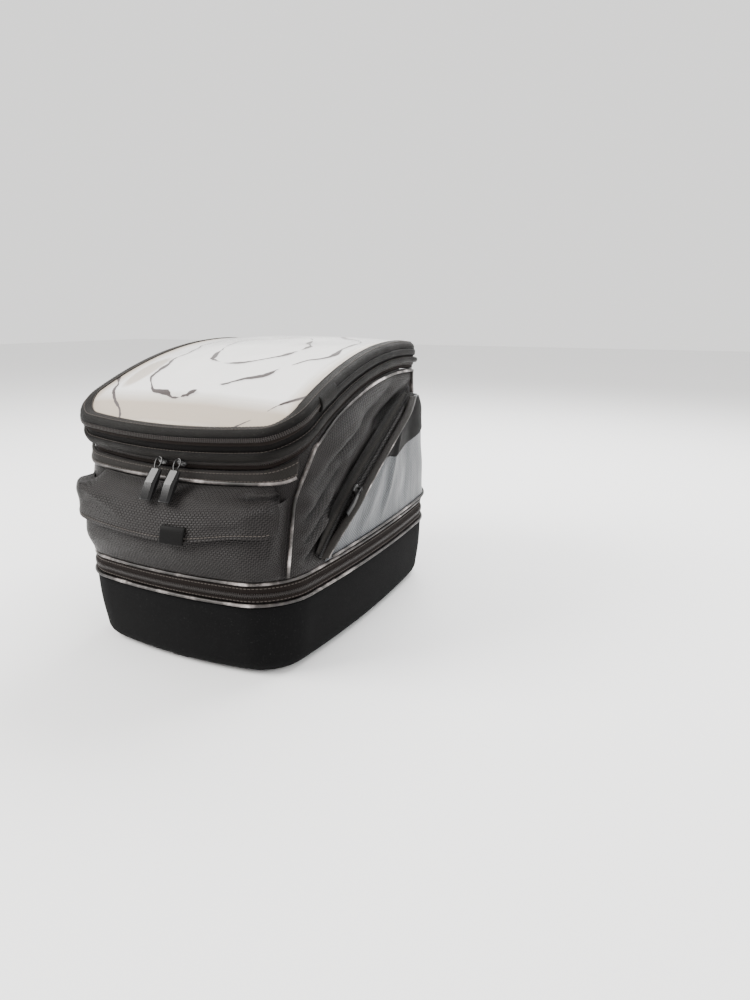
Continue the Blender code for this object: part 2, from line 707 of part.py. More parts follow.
def make_side_pocket(side, sign, upper):
    mirrored = sign < 0
    lowest = [panel_point(i / PANEL_COLUMNS, 0) for i in range(PANEL_COLUMNS + 1)]
    hinge_at = Vector((sign * (max(p.x for p in lowest) + 0.5 * MM),
                       sum(p.y for p in lowest) / len(lowest), min(p.z for p in lowest)))
    body = pivot(f"side_pocket_{side}_pivot", hinge_at)
    rows = [[panel_point(c / PANEL_COLUMNS, r / PANEL_ROWS) for c in range(PANEL_COLUMNS + 1)]
            for r in range(PANEL_ROWS + 1)]
    patch(f"side_panel_{side}", rows, FABRIC_T, "side_fabric", body, mirrored)

    piping_r = 1.1 * MM
    edge = []
    for r in range(13):
        t = 0.03 + 0.97 * r / 12
        edge.append(panel_point(0.0, t, -FABRIC_T / 2) + edge_side(t) * (piping_r + 2 * GAP))
    edge = mirrored_points(edge) if mirrored else edge
    tube(f"side_piping_{side}", edge, piping_r, "reflective_piping", body)

    patch_rows = []
    for t, start, end in ((0.625, 0.04, 0.3), (0.66, 0.04, 0.5), (0.7, 0.04, 0.72), (0.75, 0.04, 0.94),
                          (0.875, 0.04, 0.94), (0.985, 0.04, 0.94)):
        patch_rows.append([panel_point(start + (end - start) * i / 8, t, PATCH_LIFT) for i in range(9)])
    patch(f"side_patch_{side}", patch_rows, 1.2 * MM, "smooth_black", body, mirrored)

    # The zip lies on the wall along the panel's front edge
    sections = [zip_section(0.03 + 0.95 * r / 12) for r in range(13)]
    strip(f"side_zip_{side}", sections, "zip_tape", upper, mirrored=mirrored)

    t, teeth_top = 0.36, 2.9 * MM
    at, ahead, out = wall(*zip_place(t), teeth_top), wall(*zip_place(t + 0.06), teeth_top), wall_normal(*zip_place(t))
    along = ahead - at
    if mirrored:
        at, along, out = mirrored_points((at, along, out))
    slider = pivot(f"side_slider_{side}_pivot", at)
    make_slider(f"side_{side}", at, -along, out, slider, tab_length=30 * MM, tab_width=5 * MM, hang=-along)


def zip_place(t):
    """The side zip runs on the wall beside the panel's slanting edge."""
    place, up = panel_edge(t)
    return place - 0.42, up + 0.02


def edge_side(t):
    """The way off the panel's slanting edge, along the wall."""
    step = 0.03
    along = wall(*zip_place(t + step)) - wall(*zip_place(t - step))
    return wall_normal(*zip_place(t)).cross(along).normalized()


def zip_section(t):
    """A cross-section of the side zip: its tape on the wall and its teeth standing on that."""
    here, out, across = wall(*zip_place(t)), wall_normal(*zip_place(t)), edge_side(t)
    tape_half, teeth_half = 5 * MM, CHAIN_HALF
    low, mid, high = 0.4 * MM, 1.3 * MM, 2.9 * MM
    profile = [(-tape_half, low), (tape_half, low), (tape_half, mid), (teeth_half, mid),
               (teeth_half, high), (-teeth_half, high), (-teeth_half, mid), (-tape_half, mid)]
    return [here + across * a + out * h for a, h in profile]


def make_handle(upper):
    """A webbing handle lying on the far wall, swinging on two sewn anchors."""
    span, drop, bar_r, stand, up = 46 * MM, 26 * MM, 3.2 * MM, 6 * MM, 0.8
    out = wall_normal(FAR_MIDDLE, up)
    down = (wall(FAR_MIDDLE, 0) - wall(FAR_MIDDLE, 1)).normalized()
    hinge_at = wall(FAR_MIDDLE, up, stand)
    body = pivot("carry_handle_pivot", hinge_at)
    for side, sign in (("left", -1), ("right", 1)):
        middle = hinge_at + Vector((sign * (span + 10.5 * MM), 0, 0)) - out * (stand / 2 - GAP)
        outline = [(-6 * MM, -7 * MM), (6 * MM, -7 * MM), (6 * MM, 7 * MM), (-6 * MM, 7 * MM)]
        frame = turn_frame(middle, (-1, 0, 0), -down)
        anchor = as_mesh(plate("handle_anchor_" + side, [outline], stand, frame, "hard_plastic", upper))
        rounding = anchor.modifiers.new("rounding", "BEVEL")
        rounding.width = 1.5 * MM
        rounding.segments = 2
    route = []
    for i in range(17):
        a = math.pi * i / 16
        route.append(hinge_at + Vector((-span * math.cos(a), 0, 0)) + down * drop * math.sin(a) ** 0.6)
    tube("carry_handle", route, bar_r, "webbing", body, sides_level=2)


# ---------------------------------------------------------------- lid

RIM_T = 5 * MM
DECK_TOP = -3 * MM
DECK_T = 3 * MM
ZIP_END = 12.0  # the map pocket's zip ends here, in points from the near middle
ZIP_END_GAP = 0.02
DOME = 2 * MM
WINDOW_RISE = 7 * MM
BORDER_W = 9.5 * MM


def places(first, last):
    """The whole places between two ends, and the ends themselves."""
    inner = [i for i in range(math.ceil(first), math.floor(last) + 1) if first < i < last]
    return [first, *inner, last]


def across_rows(outline, grow, rise, first, last, columns=2, dome=0.0):
    """Rows across the lid between matching points of its two sides."""
    rows = []
    for i in places(first, last):
        right = outline.at(i, grow, rise)
        half = [right.lerp(Vector((-right.x, right.y, right.z)), c / columns) for c in range(columns + 1)]
        widest = max(abs(p.x) for p in outline.points(grow))
        rows.append([p + Vector((0, 0, dome * (1 - (p.x / widest) ** 2))) for p in reversed(half)])
    return rows


def arc_sections(first, last, profile):
    """Cross-sections round part of the map outline. The profile is (grow, rise) pairs."""
    return [[MAP.at(i, grow, rise) for grow, rise in profile] for i in places(first, last)]


def rim_point(place, share, out=0.0):
    """A point on the lid's padded rim, share 0 at its foot and 1 under the map zip."""
    foot, head = 0.30, 0.76
    bulge = 1 * MM * 4 * share * (1 - share)
    return LID.at(place, out + bulge).lerp(MAP.at(place, out + bulge), foot + (head - foot) * share)


def border_profile(foot):
    top = WINDOW_RISE + 1.2 * MM
    return [(0, foot), (0, 4 * MM), (-2.5 * MM, top), (-BORDER_W, top + 0.6 * MM),
            (-BORDER_W, WINDOW_RISE - 1 * MM), (-4 * MM, foot)]


def make_lid():
    hinge = LID.at(FAR_MIDDLE) + Vector((0, 1.5 * MM, 0))
    lid = pivot("lid_pivot", hinge)
    zip_half("lid_zip_upper", LID.points(0, 0.2 * MM), LID.points(0, 3.2 * MM), 0.7 * MM, False, lid)
    hoop("lid_rim", [[rim_point(i, share) for i in range(RING_POINTS)] for share in (0, 0.5, 1)],
         RIM_T, "nylon", lid)
    bm, _ = skin(across_rows(MAP, -RIM_T - 4.5 * MM, DECK_TOP, 0, FAR_MIDDLE))
    bmesh.ops.remove_doubles(bm, verts=bm.verts, dist=0.05 * MM)
    thicken(from_bmesh("lid_deck", bm, "foam_board", lid), DECK_T)

    roll = [(0.05, 1.0 * MM), (0.0, 3.6 * MM), (0.3, 4.8 * MM), (0.6, 4.0 * MM), (0.6, 1.6 * MM)]
    sections = [[rim_point(i, share, out) for share, out in roll] for i in range(-22, 23)]
    strip("rain_flap", sections, "nylon", lid)

    profile = [(0, -2.0 * MM), (0.6 * MM, -2.0 * MM), (0.6 * MM, -0.2 * MM), (-1.8 * MM, -0.2 * MM),
               (-1.8 * MM, -2.0 * MM)]
    far_end, near_end = ZIP_END + ZIP_END_GAP, ZIP_END - ZIP_END_GAP
    strip("map_chain_lower", arc_sections(-near_end, near_end, profile), "zip_teeth", lid)
    profile_far = border_profile(-2.0 * MM)
    strip("map_border_far", arc_sections(far_end, RING_POINTS - far_end, profile_far), "binding", lid)
    window_in = -BORDER_W - 1.0 * MM
    bm, _ = skin(across_rows(MAP, window_in, WINDOW_RISE, far_end, FAR_MIDDLE, dome=DOME))
    bmesh.ops.remove_doubles(bm, verts=bm.verts, dist=0.05 * MM)
    thicken(from_bmesh("map_window", bm, "window", lid), 0.8 * MM)

    # The near end of the map pocket lifts on the line between the ends of its zip
    flap_hinge = MAP.at(ZIP_END, -BORDER_W, WINDOW_RISE + 2 * MM)
    flap = pivot("map_flap_pivot", (0, flap_hinge.y, flap_hinge.z))
    profile = [(0, 0.2 * MM), (0.6 * MM, 0.2 * MM), (0.6 * MM, 2.0 * MM), (-1.8 * MM, 2.0 * MM), (-1.8 * MM, 0.2 * MM)]
    strip("map_chain_upper", arc_sections(-near_end, near_end, profile), "zip_teeth", flap)
    strip("map_border_near", arc_sections(-near_end, near_end, border_profile(2.3 * MM)), "binding", flap)
    bm, _ = skin(across_rows(MAP, window_in, WINDOW_RISE, 0, near_end, dome=DOME))
    bmesh.ops.remove_doubles(bm, verts=bm.verts, dist=0.05 * MM)
    thicken(from_bmesh("map_window_flap", bm, "window", flap), 0.8 * MM)

    place = -11.7
    at = MAP.at(place, 0.6 * MM, 0)
    ahead = MAP.at(place + 1, 0.6 * MM, 0)
    slider = pivot("map_slider_pivot", at)
    make_slider("map", at, ahead - at, Vector((-1, 0, 0)), slider, tab_length=24 * MM, tab_width=9 * MM)


MAIN_SLIDER_X = {"left": -4.5 * MM, "right": 14.0 * MM}
MAIN_TRAVEL_TO = 2.6  # the place that each main slider heads for, on its own side
MAIN_ZIP_OUT = 0.7 * MM
MAIN_OUT, MAIN_HANG = Vector((0, -1, 0.2)), Vector((0, -0.56, -0.83))


def make_main_sliders():
    for side, turn in (("left", -1), ("right", 1)):
        place = MAIN_SLIDER_X[side] / (LID.at(1).x - LID.at(0).x)
        at = LID.at(place, MAIN_ZIP_OUT)
        ahead = LID.at(MAIN_TRAVEL_TO * turn, MAIN_ZIP_OUT)
        body = pivot(f"main_slider_{side}_pivot", at)
        make_slider("main_" + side, at, ahead - at, MAIN_OUT, body,
                    tab_length=34 * MM, tab_width=9.5 * MM, hang=MAIN_HANG)


UPPER_BODY = pivot("upper_bag_pivot", (0, 0, UPPER_PIPING_Z[0] * MM))
make_base()
make_lock()
make_band(UPPER_BODY)
make_upper(UPPER_BODY)
make_front_pocket(UPPER_BODY)
for side_name, side_sign in (("right", 1), ("left", -1)):
    make_side_pocket(side_name, side_sign, UPPER_BODY)
make_handle(UPPER_BODY)
make_lid()
make_main_sliders()
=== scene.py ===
"""Looks of the tank bag: sewn fabric, moulded base, zips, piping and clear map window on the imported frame.

Lengths are in metres. +Z is up, -Y faces the rider and +X is the bike's right, as in the frame.
"""

import json
import math

import bmesh
import bpy
import numpy as np
from mathutils import Matrix, Vector, noise


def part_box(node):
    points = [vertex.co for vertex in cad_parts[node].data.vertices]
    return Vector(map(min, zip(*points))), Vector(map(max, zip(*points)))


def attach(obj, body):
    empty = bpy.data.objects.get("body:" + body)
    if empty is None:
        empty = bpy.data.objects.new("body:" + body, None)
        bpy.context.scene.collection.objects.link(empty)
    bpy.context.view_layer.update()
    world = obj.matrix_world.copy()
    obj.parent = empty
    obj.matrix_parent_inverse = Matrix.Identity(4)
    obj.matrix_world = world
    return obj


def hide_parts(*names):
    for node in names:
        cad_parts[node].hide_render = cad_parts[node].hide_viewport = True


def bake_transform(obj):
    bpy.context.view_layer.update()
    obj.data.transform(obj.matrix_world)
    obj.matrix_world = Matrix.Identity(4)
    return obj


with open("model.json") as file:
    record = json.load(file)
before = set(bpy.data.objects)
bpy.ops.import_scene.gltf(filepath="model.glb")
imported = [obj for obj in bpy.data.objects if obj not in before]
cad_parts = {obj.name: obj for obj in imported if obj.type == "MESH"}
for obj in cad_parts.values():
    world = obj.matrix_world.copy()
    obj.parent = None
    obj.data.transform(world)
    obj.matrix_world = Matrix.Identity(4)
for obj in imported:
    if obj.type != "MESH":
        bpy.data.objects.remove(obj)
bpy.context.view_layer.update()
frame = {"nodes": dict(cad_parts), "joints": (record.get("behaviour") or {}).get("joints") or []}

MM = 0.001
JOINTS = {joint["name"]: joint for joint in frame["joints"]}
UP = np.array((0.0, 0.0, 1.0))

# ---------------------------------------------------------------- the bag's outlines, as in the frame

Y_MIDDLE = 8.4 * MM
NEAR_STEPS, CORNER_STEPS, SIDE_STEPS, FAR_STEPS = 5, 6, 8, 3
SIDE_START = NEAR_STEPS + CORNER_STEPS
SIDE_END = SIDE_START + SIDE_STEPS
FAR_CORNER_END = SIDE_END + CORNER_STEPS
FAR_MIDDLE = FAR_CORNER_END + FAR_STEPS
RING_PLACES = 2 * FAR_MIDDLE
NEAR_BOW = 11.2 * MM


class Outline:
    """A closed outline of the bag in plan, whose height follows an arch along Y.

    A place counts steps round it from the near middle, positive on the right half. Pairs are for the near
    and far ends, and the heights are near, far and the arch's own, all in millimetres.
    """

    def __init__(self, halves, ends, radii, side_bow, heights):
        self.halves, self.ends, self.radii, self.heights = (
            [MM * v for v in values] for values in (halves, ends, radii, heights))
        self.side_bow = MM * side_bow

    def plan(self, place, grow):
        """x and y at places on the right half, moved outwards by grow."""
        (near, far), (r_near, r_far) = ([v + grow for v in pair] for pair in (self.halves, self.radii))
        y_near, y_far = self.ends[0] - grow, self.ends[1] + grow
        near_turn = math.pi / 2 * ((place - NEAR_STEPS) / CORNER_STEPS - 1)
        far_turn = math.pi / 2 * (place - SIDE_END) / CORNER_STEPS
        t = (place - SIDE_START) / SIDE_STEPS
        parts = [place <= end for end in (NEAR_STEPS, SIDE_START, SIDE_END, FAR_CORNER_END)]
        x = np.select(parts, [(near - r_near) * place / NEAR_STEPS,
                              near - r_near + r_near * np.cos(near_turn),
                              near + (far - near) * t,
                              far - r_far + r_far * np.cos(far_turn)],
                      (far - r_far) * (FAR_MIDDLE - place) / FAR_STEPS)
        y = np.select(parts, [y_near + 0 * place,
                              y_near + r_near + r_near * np.sin(near_turn),
                              y_near + r_near + (y_far - r_far - y_near - r_near) * t,
                              y_far - r_far + r_far * np.sin(far_turn)],
                      y_far)
        along = np.clip((y - y_near) / (y_far - y_near), 0, 1)
        bow_y = np.where(y < y_near + 1.5 * r_near, NEAR_BOW * (1 - (x / near) ** 2), 0)
        bow_x = self.side_bow * 4 * along * (1 - along) * np.minimum(x / (0.7 * near), 1)
        return x + bow_x, y - np.maximum(bow_y, 0)

    def at(self, place, grow=0.0, rise=0.0):
        """Points at places, which may be an array of any shape."""
        place, grow = np.asarray(place, float), np.asarray(grow, float)
        turned = (place + FAR_MIDDLE) % RING_PLACES - FAR_MIDDLE
        x, y = self.plan(np.abs(turned), grow)
        _, spine_y = self.plan(np.abs(turned), 0.0)
        near, far, arch = self.heights
        t = (spine_y - self.ends[0]) / (self.ends[1] - self.ends[0])
        z = near + (far - near) * t + arch * 4 * t * (1 - t) + rise
        return np.stack(np.broadcast_arrays(np.where(turned < 0, -x, x), y + Y_MIDDLE, z), axis=-1)


BAND = (104.5, 106.0), (-158.7, 158.7), (35, 66), 10.3
LOWER = Outline(*BAND, heights=(63, 66, 0))
UPPER = Outline(*BAND, heights=(80, 88, 0))
LID = Outline((106.8, 103.7), (-139.8, 125.2), (26.8, 44.3), -0.3, heights=(174.2, 227.2, 25.1))
MAP = Outline((110.7, 107.7), (-147.6, 118.4), (26.8, 44.3), -0.3, heights=(192.5, 240.1, 22.9))

PIPING_R = 1.6 * MM
CLEAR = PIPING_R + 0.3 * MM  # from a piping's middle to the cloth beside it
UPPER_INSET = -1.5 * MM
SHELL_TOP = -5.5 * MM


def unit(vectors):
    vectors = np.asarray(vectors, float)
    return vectors / np.maximum(np.linalg.norm(vectors, axis=-1, keepdims=True), 1e-12)


def wall_line(place, up):
    """Points on the upper bag's straight wall: up runs from the upper piping (0) to the main zip (1)."""
    low, high = UPPER.at(place, UPPER_INSET, CLEAR), LID.at(place, 0, SHELL_TOP)
    return low + (high - low) * np.asarray(up)[..., None]


def wall_normal(place, up, step=0.25):
    rise = LID.at(place, 0, SHELL_TOP) - UPPER.at(place, UPPER_INSET, CLEAR)
    return unit(np.cross(wall_line(place + step, up) - wall_line(place - step, up), rise))


def wall(place, up, out=0.0):
    place, up, out = np.broadcast_arrays(np.asarray(place, float), up, out)
    return wall_line(place, up) + wall_normal(place, up) * out[..., None]


def steps(first, last, spacing=4 * MM, outline=UPPER):
    """Places from first to last at about even spacing along the outline, breaking at whole places."""
    marks = [first, *range(math.floor(first) + 1, math.ceil(last)), last]
    found = []
    for a, b in zip(marks, marks[1:]):
        count = max(1, round(np.linalg.norm(outline.at(b) - outline.at(a)) / spacing))
        found.extend(a + (b - a) * i / count for i in range(count))
    return np.array(found + [last])


def ring(spacing=4 * MM, outline=UPPER):
    return steps(-FAR_MIDDLE, FAR_MIDDLE, spacing, outline)[:-1]


def lid_point(place, share, out=0.0):
    """Points on the lid's flank: share 0 at the main zip, 1 at the map zip."""
    low, high = LID.at(place, out), MAP.at(place, out)
    return low + (high - low) * np.asarray(share, float)[..., None]


def smooth(t):
    t = np.clip(t, 0, 1)
    return t * t * (3 - 2 * t)


def bump(t, centre, width):
    return np.exp(-((t - centre) / width) ** 2)


def wrinkle(points, size, seed=0.0):
    """Smooth noise from -1 to 1 at each point, with features about size across."""
    flat = np.asarray(points, float).reshape(-1, 3) / size + seed
    return np.array([noise.noise(Vector(p)) for p in flat]).reshape(np.shape(points)[:-1])


def ridge(y, z, start, end, width, height):
    """A fold between two points of the side, in millimetres: a crest with a hollow below it."""
    ay, az, by, bz = (MM * v for v in (*start, *end))
    length = math.hypot(by - ay, bz - az)
    ty, tz = (by - ay) / length, (bz - az) / length
    along = ((y - ay) * ty + (z - az) * tz) / length
    across = ((z - az) * ty - (y - ay) * tz) / (width * MM)
    fade = smooth((along + 0.15) / 0.35) * smooth((1.15 - along) / 0.35)
    return height * MM * fade * (np.exp(-across ** 2) - 1.1 * np.exp(-((across + 1.6) / 0.75) ** 2))


# ---------------------------------------------------------------- mesh tools

def assign(thing, **values):
    for key, value in values.items():
        setattr(thing, key, value)
    return thing


def in_scene(name, data):
    thing = bpy.data.objects.new(name, data)
    bpy.context.scene.collection.objects.link(thing)
    return thing


def new_mesh(name, points, faces):
    mesh = bpy.data.meshes.new(name)
    mesh.from_pydata(np.reshape(points, (-1, 3)).tolist(), [], faces)
    return mesh


def grid_faces(rows, columns, wrap_rows, wrap_columns):
    r = np.arange(rows if wrap_rows else rows - 1)[:, None]
    c = np.arange(columns if wrap_columns else columns - 1)[None, :]
    r2, c2 = (r + 1) % rows, (c + 1) % columns
    corners = [r * columns + c, r * columns + c2, r2 * columns + c2, r2 * columns + c]
    return np.stack(np.broadcast_arrays(*corners), axis=-1).reshape(-1, 4).tolist()


def end_faces(rows, columns):
    return [list(range(columns))[::-1], list(range((rows - 1) * columns, rows * columns))]


def grid_uvs(points, wrap_rows, wrap_columns):
    """Lengths along the columns and rows at each face corner, so that a weave keeps its scale."""
    rows, columns = points.shape[:2]
    u, v = (np.concatenate(([0], np.cumsum(np.linalg.norm(np.roll(points, -1, axis=axis) - points, axis=-1)
                                           .mean(axis=1 - axis)))) for axis in (1, 0))
    r = np.arange(rows if wrap_rows else rows - 1)[:, None]
    c = np.arange(columns if wrap_columns else columns - 1)[None, :]
    uvs = [np.stack(np.broadcast_arrays(u[a], v[b]), axis=-1)
           for a, b in ((c, r), (c + 1, r), (c + 1, r + 1), (c, r + 1))]
    return np.stack(uvs, axis=2).reshape(-1, 2)


def grid_mesh(name, points, wrap_rows=False, wrap_columns=False, caps=False):
    """A mesh over rows of points, with caps over its first and last rows where they are asked for."""
    points = np.asarray(points, float)
    rows, columns = points.shape[:2]
    ends = end_faces(rows, columns) if caps else []
    mesh = new_mesh(name, points, grid_faces(rows, columns, wrap_rows, wrap_columns) + ends)
    uvs = np.concatenate((grid_uvs(points, wrap_rows, wrap_columns), np.zeros((len(ends) * columns, 2))))
    mesh.uv_layers.new(name="UVMap").data.foreach_set("uv", uvs.astype(np.float32).ravel())
    return mesh


def add_piece(name, mesh, material, body, nodes=()):
    """Files a mesh as a piece that rides on a body and stands for CAD nodes."""
    piece = in_scene(name, mesh)
    mesh.materials.append(MATERIALS[material])
    mesh.shade_smooth()
    if body:
        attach(piece, body)
    if nodes:
        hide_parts(*nodes)
    return piece


def thicken(piece, thickness, rim_bevel=0.0):
    """Makes a sheet solid, inwards from its face, and softens its cut edges."""
    assign(piece.modifiers.new("thickness", "SOLIDIFY"), thickness=thickness, offset=-1.0)
    if rim_bevel:
        assign(piece.modifiers.new("soft_edges", "BEVEL"), width=rim_bevel, segments=2,
               limit_method="ANGLE", angle_limit=math.radians(50))
    return piece


def sheet(name, points, material, body, slot, nodes=(), thickness=0.0, rim_bevel=0.0, **grid):
    """A piece over a grid of points, and its thickness where it isn't a closed form."""
    piece = add_piece(name, grid_mesh(name, points, **grid), material, body, nodes)
    return thicken(piece, thickness, rim_bevel) if thickness else piece


def headings(path, closed):
    turned = np.roll(path, -1, axis=0) - np.roll(path, 1, axis=0)
    return unit(turned if closed else np.gradient(path, axis=0))


def frames_along(path, out, closed=False):
    """Unit vectors along a path, off its surface and across, made square to each other."""
    along = headings(path, closed)
    across = unit(np.cross(out, along))
    return along, unit(np.cross(along, across)), across


def sweep(name, path, out, profile, closed=False):
    """A solid run: profile is (across, out) pairs, one loop for all the path or one for each point."""
    path, profile = np.asarray(path, float), np.asarray(profile, float)
    _, out, across = frames_along(path, np.asarray(out, float), closed)
    if profile.ndim == 2:
        profile = np.broadcast_to(profile, (len(path), *profile.shape))
    sections = path[:, None] + across[:, None] * profile[..., :1] + out[:, None] * profile[..., 1:]
    return grid_mesh(name, sections, wrap_rows=closed, wrap_columns=True, caps=not closed)


def circle(radius, count=10):
    turn = 2 * math.pi * np.arange(count) / count
    return np.stack((radius * np.cos(turn), radius * np.sin(turn)), axis=-1)


def resample(path, values, spacing, closed):
    """Points at even spacing along a path, and the vectors given along it, read there."""
    both = np.hstack((np.asarray(path, float), np.asarray(values, float)))
    if closed:
        both = np.concatenate((both, both[:1]))
    lengths = np.concatenate(([0], np.cumsum(np.linalg.norm(np.diff(both[:, :3], axis=0), axis=1))))
    count = max(2, round(lengths[-1] / spacing) + (0 if closed else 1))
    stations = np.linspace(0, lengths[-1], count, endpoint=not closed)
    read = np.stack([np.interp(stations, lengths, column) for column in both.T], axis=-1)
    return read[:, :3], read[:, 3:]


BEAD_CORNER = 0.55  # a bead's flat part, as a share of its half size


def beads(name, path, out, spacing, size, closed=False, phase=0.0, offset=(0, 0)):
    """Small rounded blocks in a row, such as zip teeth or stitches.

    size is (along, across, out), and offset moves them (across, out) off the path.
    """
    points, normals = resample(path, out, spacing, closed)
    normals = unit(normals)
    along, square, across = frames_along(points, normals, closed)
    normals = normals if closed else square
    points = points + along * (phase * spacing) + across * offset[0] + normals * offset[1]
    c = BEAD_CORNER
    shape = [(a, w, h) for a, k in ((-1, c), (-c, 1), (c, 1), (1, c))
             for w, h in ((-k, -c * k), (-c * k, -k), (c * k, -k), (k, -c * k),
                          (k, c * k), (c * k, k), (-c * k, k), (-k, c * k))]
    shape = np.array(shape) * np.array(size) / 2
    spots = (points[:, None] + along[:, None] * shape[None, :, :1]
             + across[:, None] * shape[None, :, 1:2] + normals[:, None] * shape[None, :, 2:])
    single = end_faces(4, 8) + grid_faces(4, 8, False, True)
    return new_mesh(name, spots, [[k * 32 + i for i in face] for k in range(len(points)) for face in single])


STITCH = (2.3 * MM, 0.62 * MM, 0.55 * MM)


def stitch_row(name, path, out, body, spacing=3.1 * MM, lift=0.1 * MM, closed=False):
    mesh = beads(name, path, out, spacing, STITCH, closed, offset=(0, lift))
    return add_piece(name, mesh, "thread", body)


STIFFNESS = 15.0


def settle(piece, pinned, pressure, cap, frames=20):
    """Blows a fabric sheet out with cloth simulation, held at its seams, and keeps the result.

    pinned gives each point's hold from 0 to 1, and cap is how far a point may move.
    """
    scene = bpy.context.scene
    rest = np.array([v.co for v in piece.data.vertices])
    group = piece.vertex_groups.new(name="seams")
    for index, hold in enumerate(np.ravel(pinned)):
        if hold > 0:
            group.add([index], float(hold), "REPLACE")
    cloth = piece.modifiers.new("cloth", "CLOTH")
    assign(cloth.settings, quality=6, mass=0.3, tension_stiffness=STIFFNESS, compression_stiffness=STIFFNESS,
           shear_stiffness=STIFFNESS / 3, bending_stiffness=0.5, use_pressure=True,
           uniform_pressure_force=pressure, vertex_group_mass="seams", shrink_min=0.0)
    cloth.settings.effector_weights.gravity = 0
    cloth.collision_settings.use_collision = False
    assign(cloth.point_cache, frame_start=1, frame_end=frames)
    for number in range(1, frames + 1):
        scene.frame_set(number)
    evaluated = piece.evaluated_get(bpy.context.evaluated_depsgraph_get())
    moved = np.array([v.co for v in evaluated.data.vertices]) - rest
    length = np.linalg.norm(moved, axis=1, keepdims=True)
    moved *= np.minimum(1, cap / np.maximum(length, 1e-9))
    piece.modifiers.remove(cloth)
    piece.vertex_groups.remove(group)
    piece.data.vertices.foreach_set("co", (rest + moved).ravel().astype(np.float32))
    piece.data.update()
    scene.frame_set(1)


# ---------------------------------------------------------------- materials

MATERIALS = {}


class Finish:
    """A procedural material: a Principled shader, with helpers that add nodes to it."""

    def __init__(self, name, colour, roughness, **sockets):
        material = MATERIALS[name] = bpy.data.materials.new(name)
        material.use_nodes = True
        self.tree, self.colour, self.bumps = material.node_tree, colour, None
        self.shader = self.tree.nodes["Principled BSDF"]
        for key, value in {"Base_Color": (*colour, 1), "Roughness": roughness, **sockets}.items():
            self.shader.inputs[key.replace("_", " ")].default_value = value
        self.uv = self.add("UVMap", uv_map="UVMap").outputs[0]
        self.place = self.add("TexCoord").outputs["Object"]

    def add(self, kind, inputs=None, **properties):
        node = assign(self.tree.nodes.new("ShaderNode" + kind), **properties)
        for key, value in (inputs or {}).items():
            if isinstance(value, bpy.types.NodeSocket):
                self.tree.links.new(value, node.inputs[key])
            else:
                node.inputs[key].default_value = value
        return node

    def math(self, operation, a, b=0.0, c=0.0):
        return self.add("Math", {0: a, 1: b, 2: c}, operation=operation).outputs[0]

    def times(self, a, b):
        return self.math("MULTIPLY", a, b)

    def times_plus(self, a, b, c):
        return self.math("MULTIPLY_ADD", a, b, c)

    def split(self, vector):
        return self.add("SeparateXYZ", {0: vector}).outputs

    def pointiness(self):
        return self.add("NewGeometry").outputs["Pointiness"]

    def noise(self, size, detail=3.0, source=None, roughness=0.55, stretch=(1, 1, 1)):
        """Noise with features of about a size, in metres."""
        scale = tuple(s / size for s in stretch)
        moved = self.add("Mapping", {"Vector": source or self.place, "Scale": scale}).outputs[0]
        values = {"Vector": moved, "Scale": 1.0, "Detail": detail, "Roughness": roughness}
        return self.add("TexNoise", values).outputs[0]

    def ramp(self, value, *stops):
        """A colour ramp through (position, grey or colour) stops."""
        node = self.add("ValToRGB", {0: value})
        elements = node.color_ramp.elements
        elements[0].position, elements[1].position = stops[0][0], stops[-1][0]
        for position, _ in stops[1:-1]:
            elements.new(position)
        for element, (_, shade) in zip(elements, stops):
            element.color = (*(shade if isinstance(shade, tuple) else (shade,) * 3), 1)
        return node.outputs[0]

    def blend(self, factor, a, b, mode="MIX"):
        a, b = ((*shade, 1) if isinstance(shade, tuple) else shade for shade in (a, b))
        return self.add("Mix", {0: factor, 6: a, 7: b}, data_type="RGBA", blend_type=mode).outputs[2]

    def tint(self, factor, low, high):
        """The base colour scaled between two strengths by a factor."""
        return self.blend(factor, *(tuple(min(1, c * k) for c in self.colour) for k in (low, high)))

    def lighter(self, scale, add):
        return tuple(min(1, c * scale + add) for c in self.colour)

    def set(self, socket, value):
        self.tree.links.new(value, self.shader.inputs[socket])

    def bump(self, height, distance, strength=1.0):
        """Adds a layer of relief, distance metres deep, on top of the layers before it."""
        values = {"Strength": strength, "Distance": distance, "Height": height}
        if self.bumps:
            values["Normal"] = self.bumps
        self.bumps = self.add("Bump", values).outputs[0]
        self.set("Normal", self.bumps)

    def wave(self, coordinate, period):
        """A smooth wave from 0 to 1 along a coordinate."""
        angle = self.times(coordinate, 2 * math.pi / period)
        return self.times_plus(self.math("SINE", angle), 0.5, 0.5)

    def weave(self, period, skew=0.0):
        """Height of a basket weave: warp and weft threads cross over each other by turns."""
        u, v, _ = self.split(self.uv)
        if skew:
            u, v = self.times_plus(v, skew, u), self.times_plus(u, -skew, v)
        warp, weft = self.wave(u, period), self.wave(v, period)
        flat = self.add("CombineXYZ", {0: u, 1: v}).outputs[0]
        over = self.add("TexChecker", {"Vector": flat, "Scale": 1 / period}).outputs[1]
        return self.add("Mix", {0: over, 2: warp, 3: weft}).outputs[0]


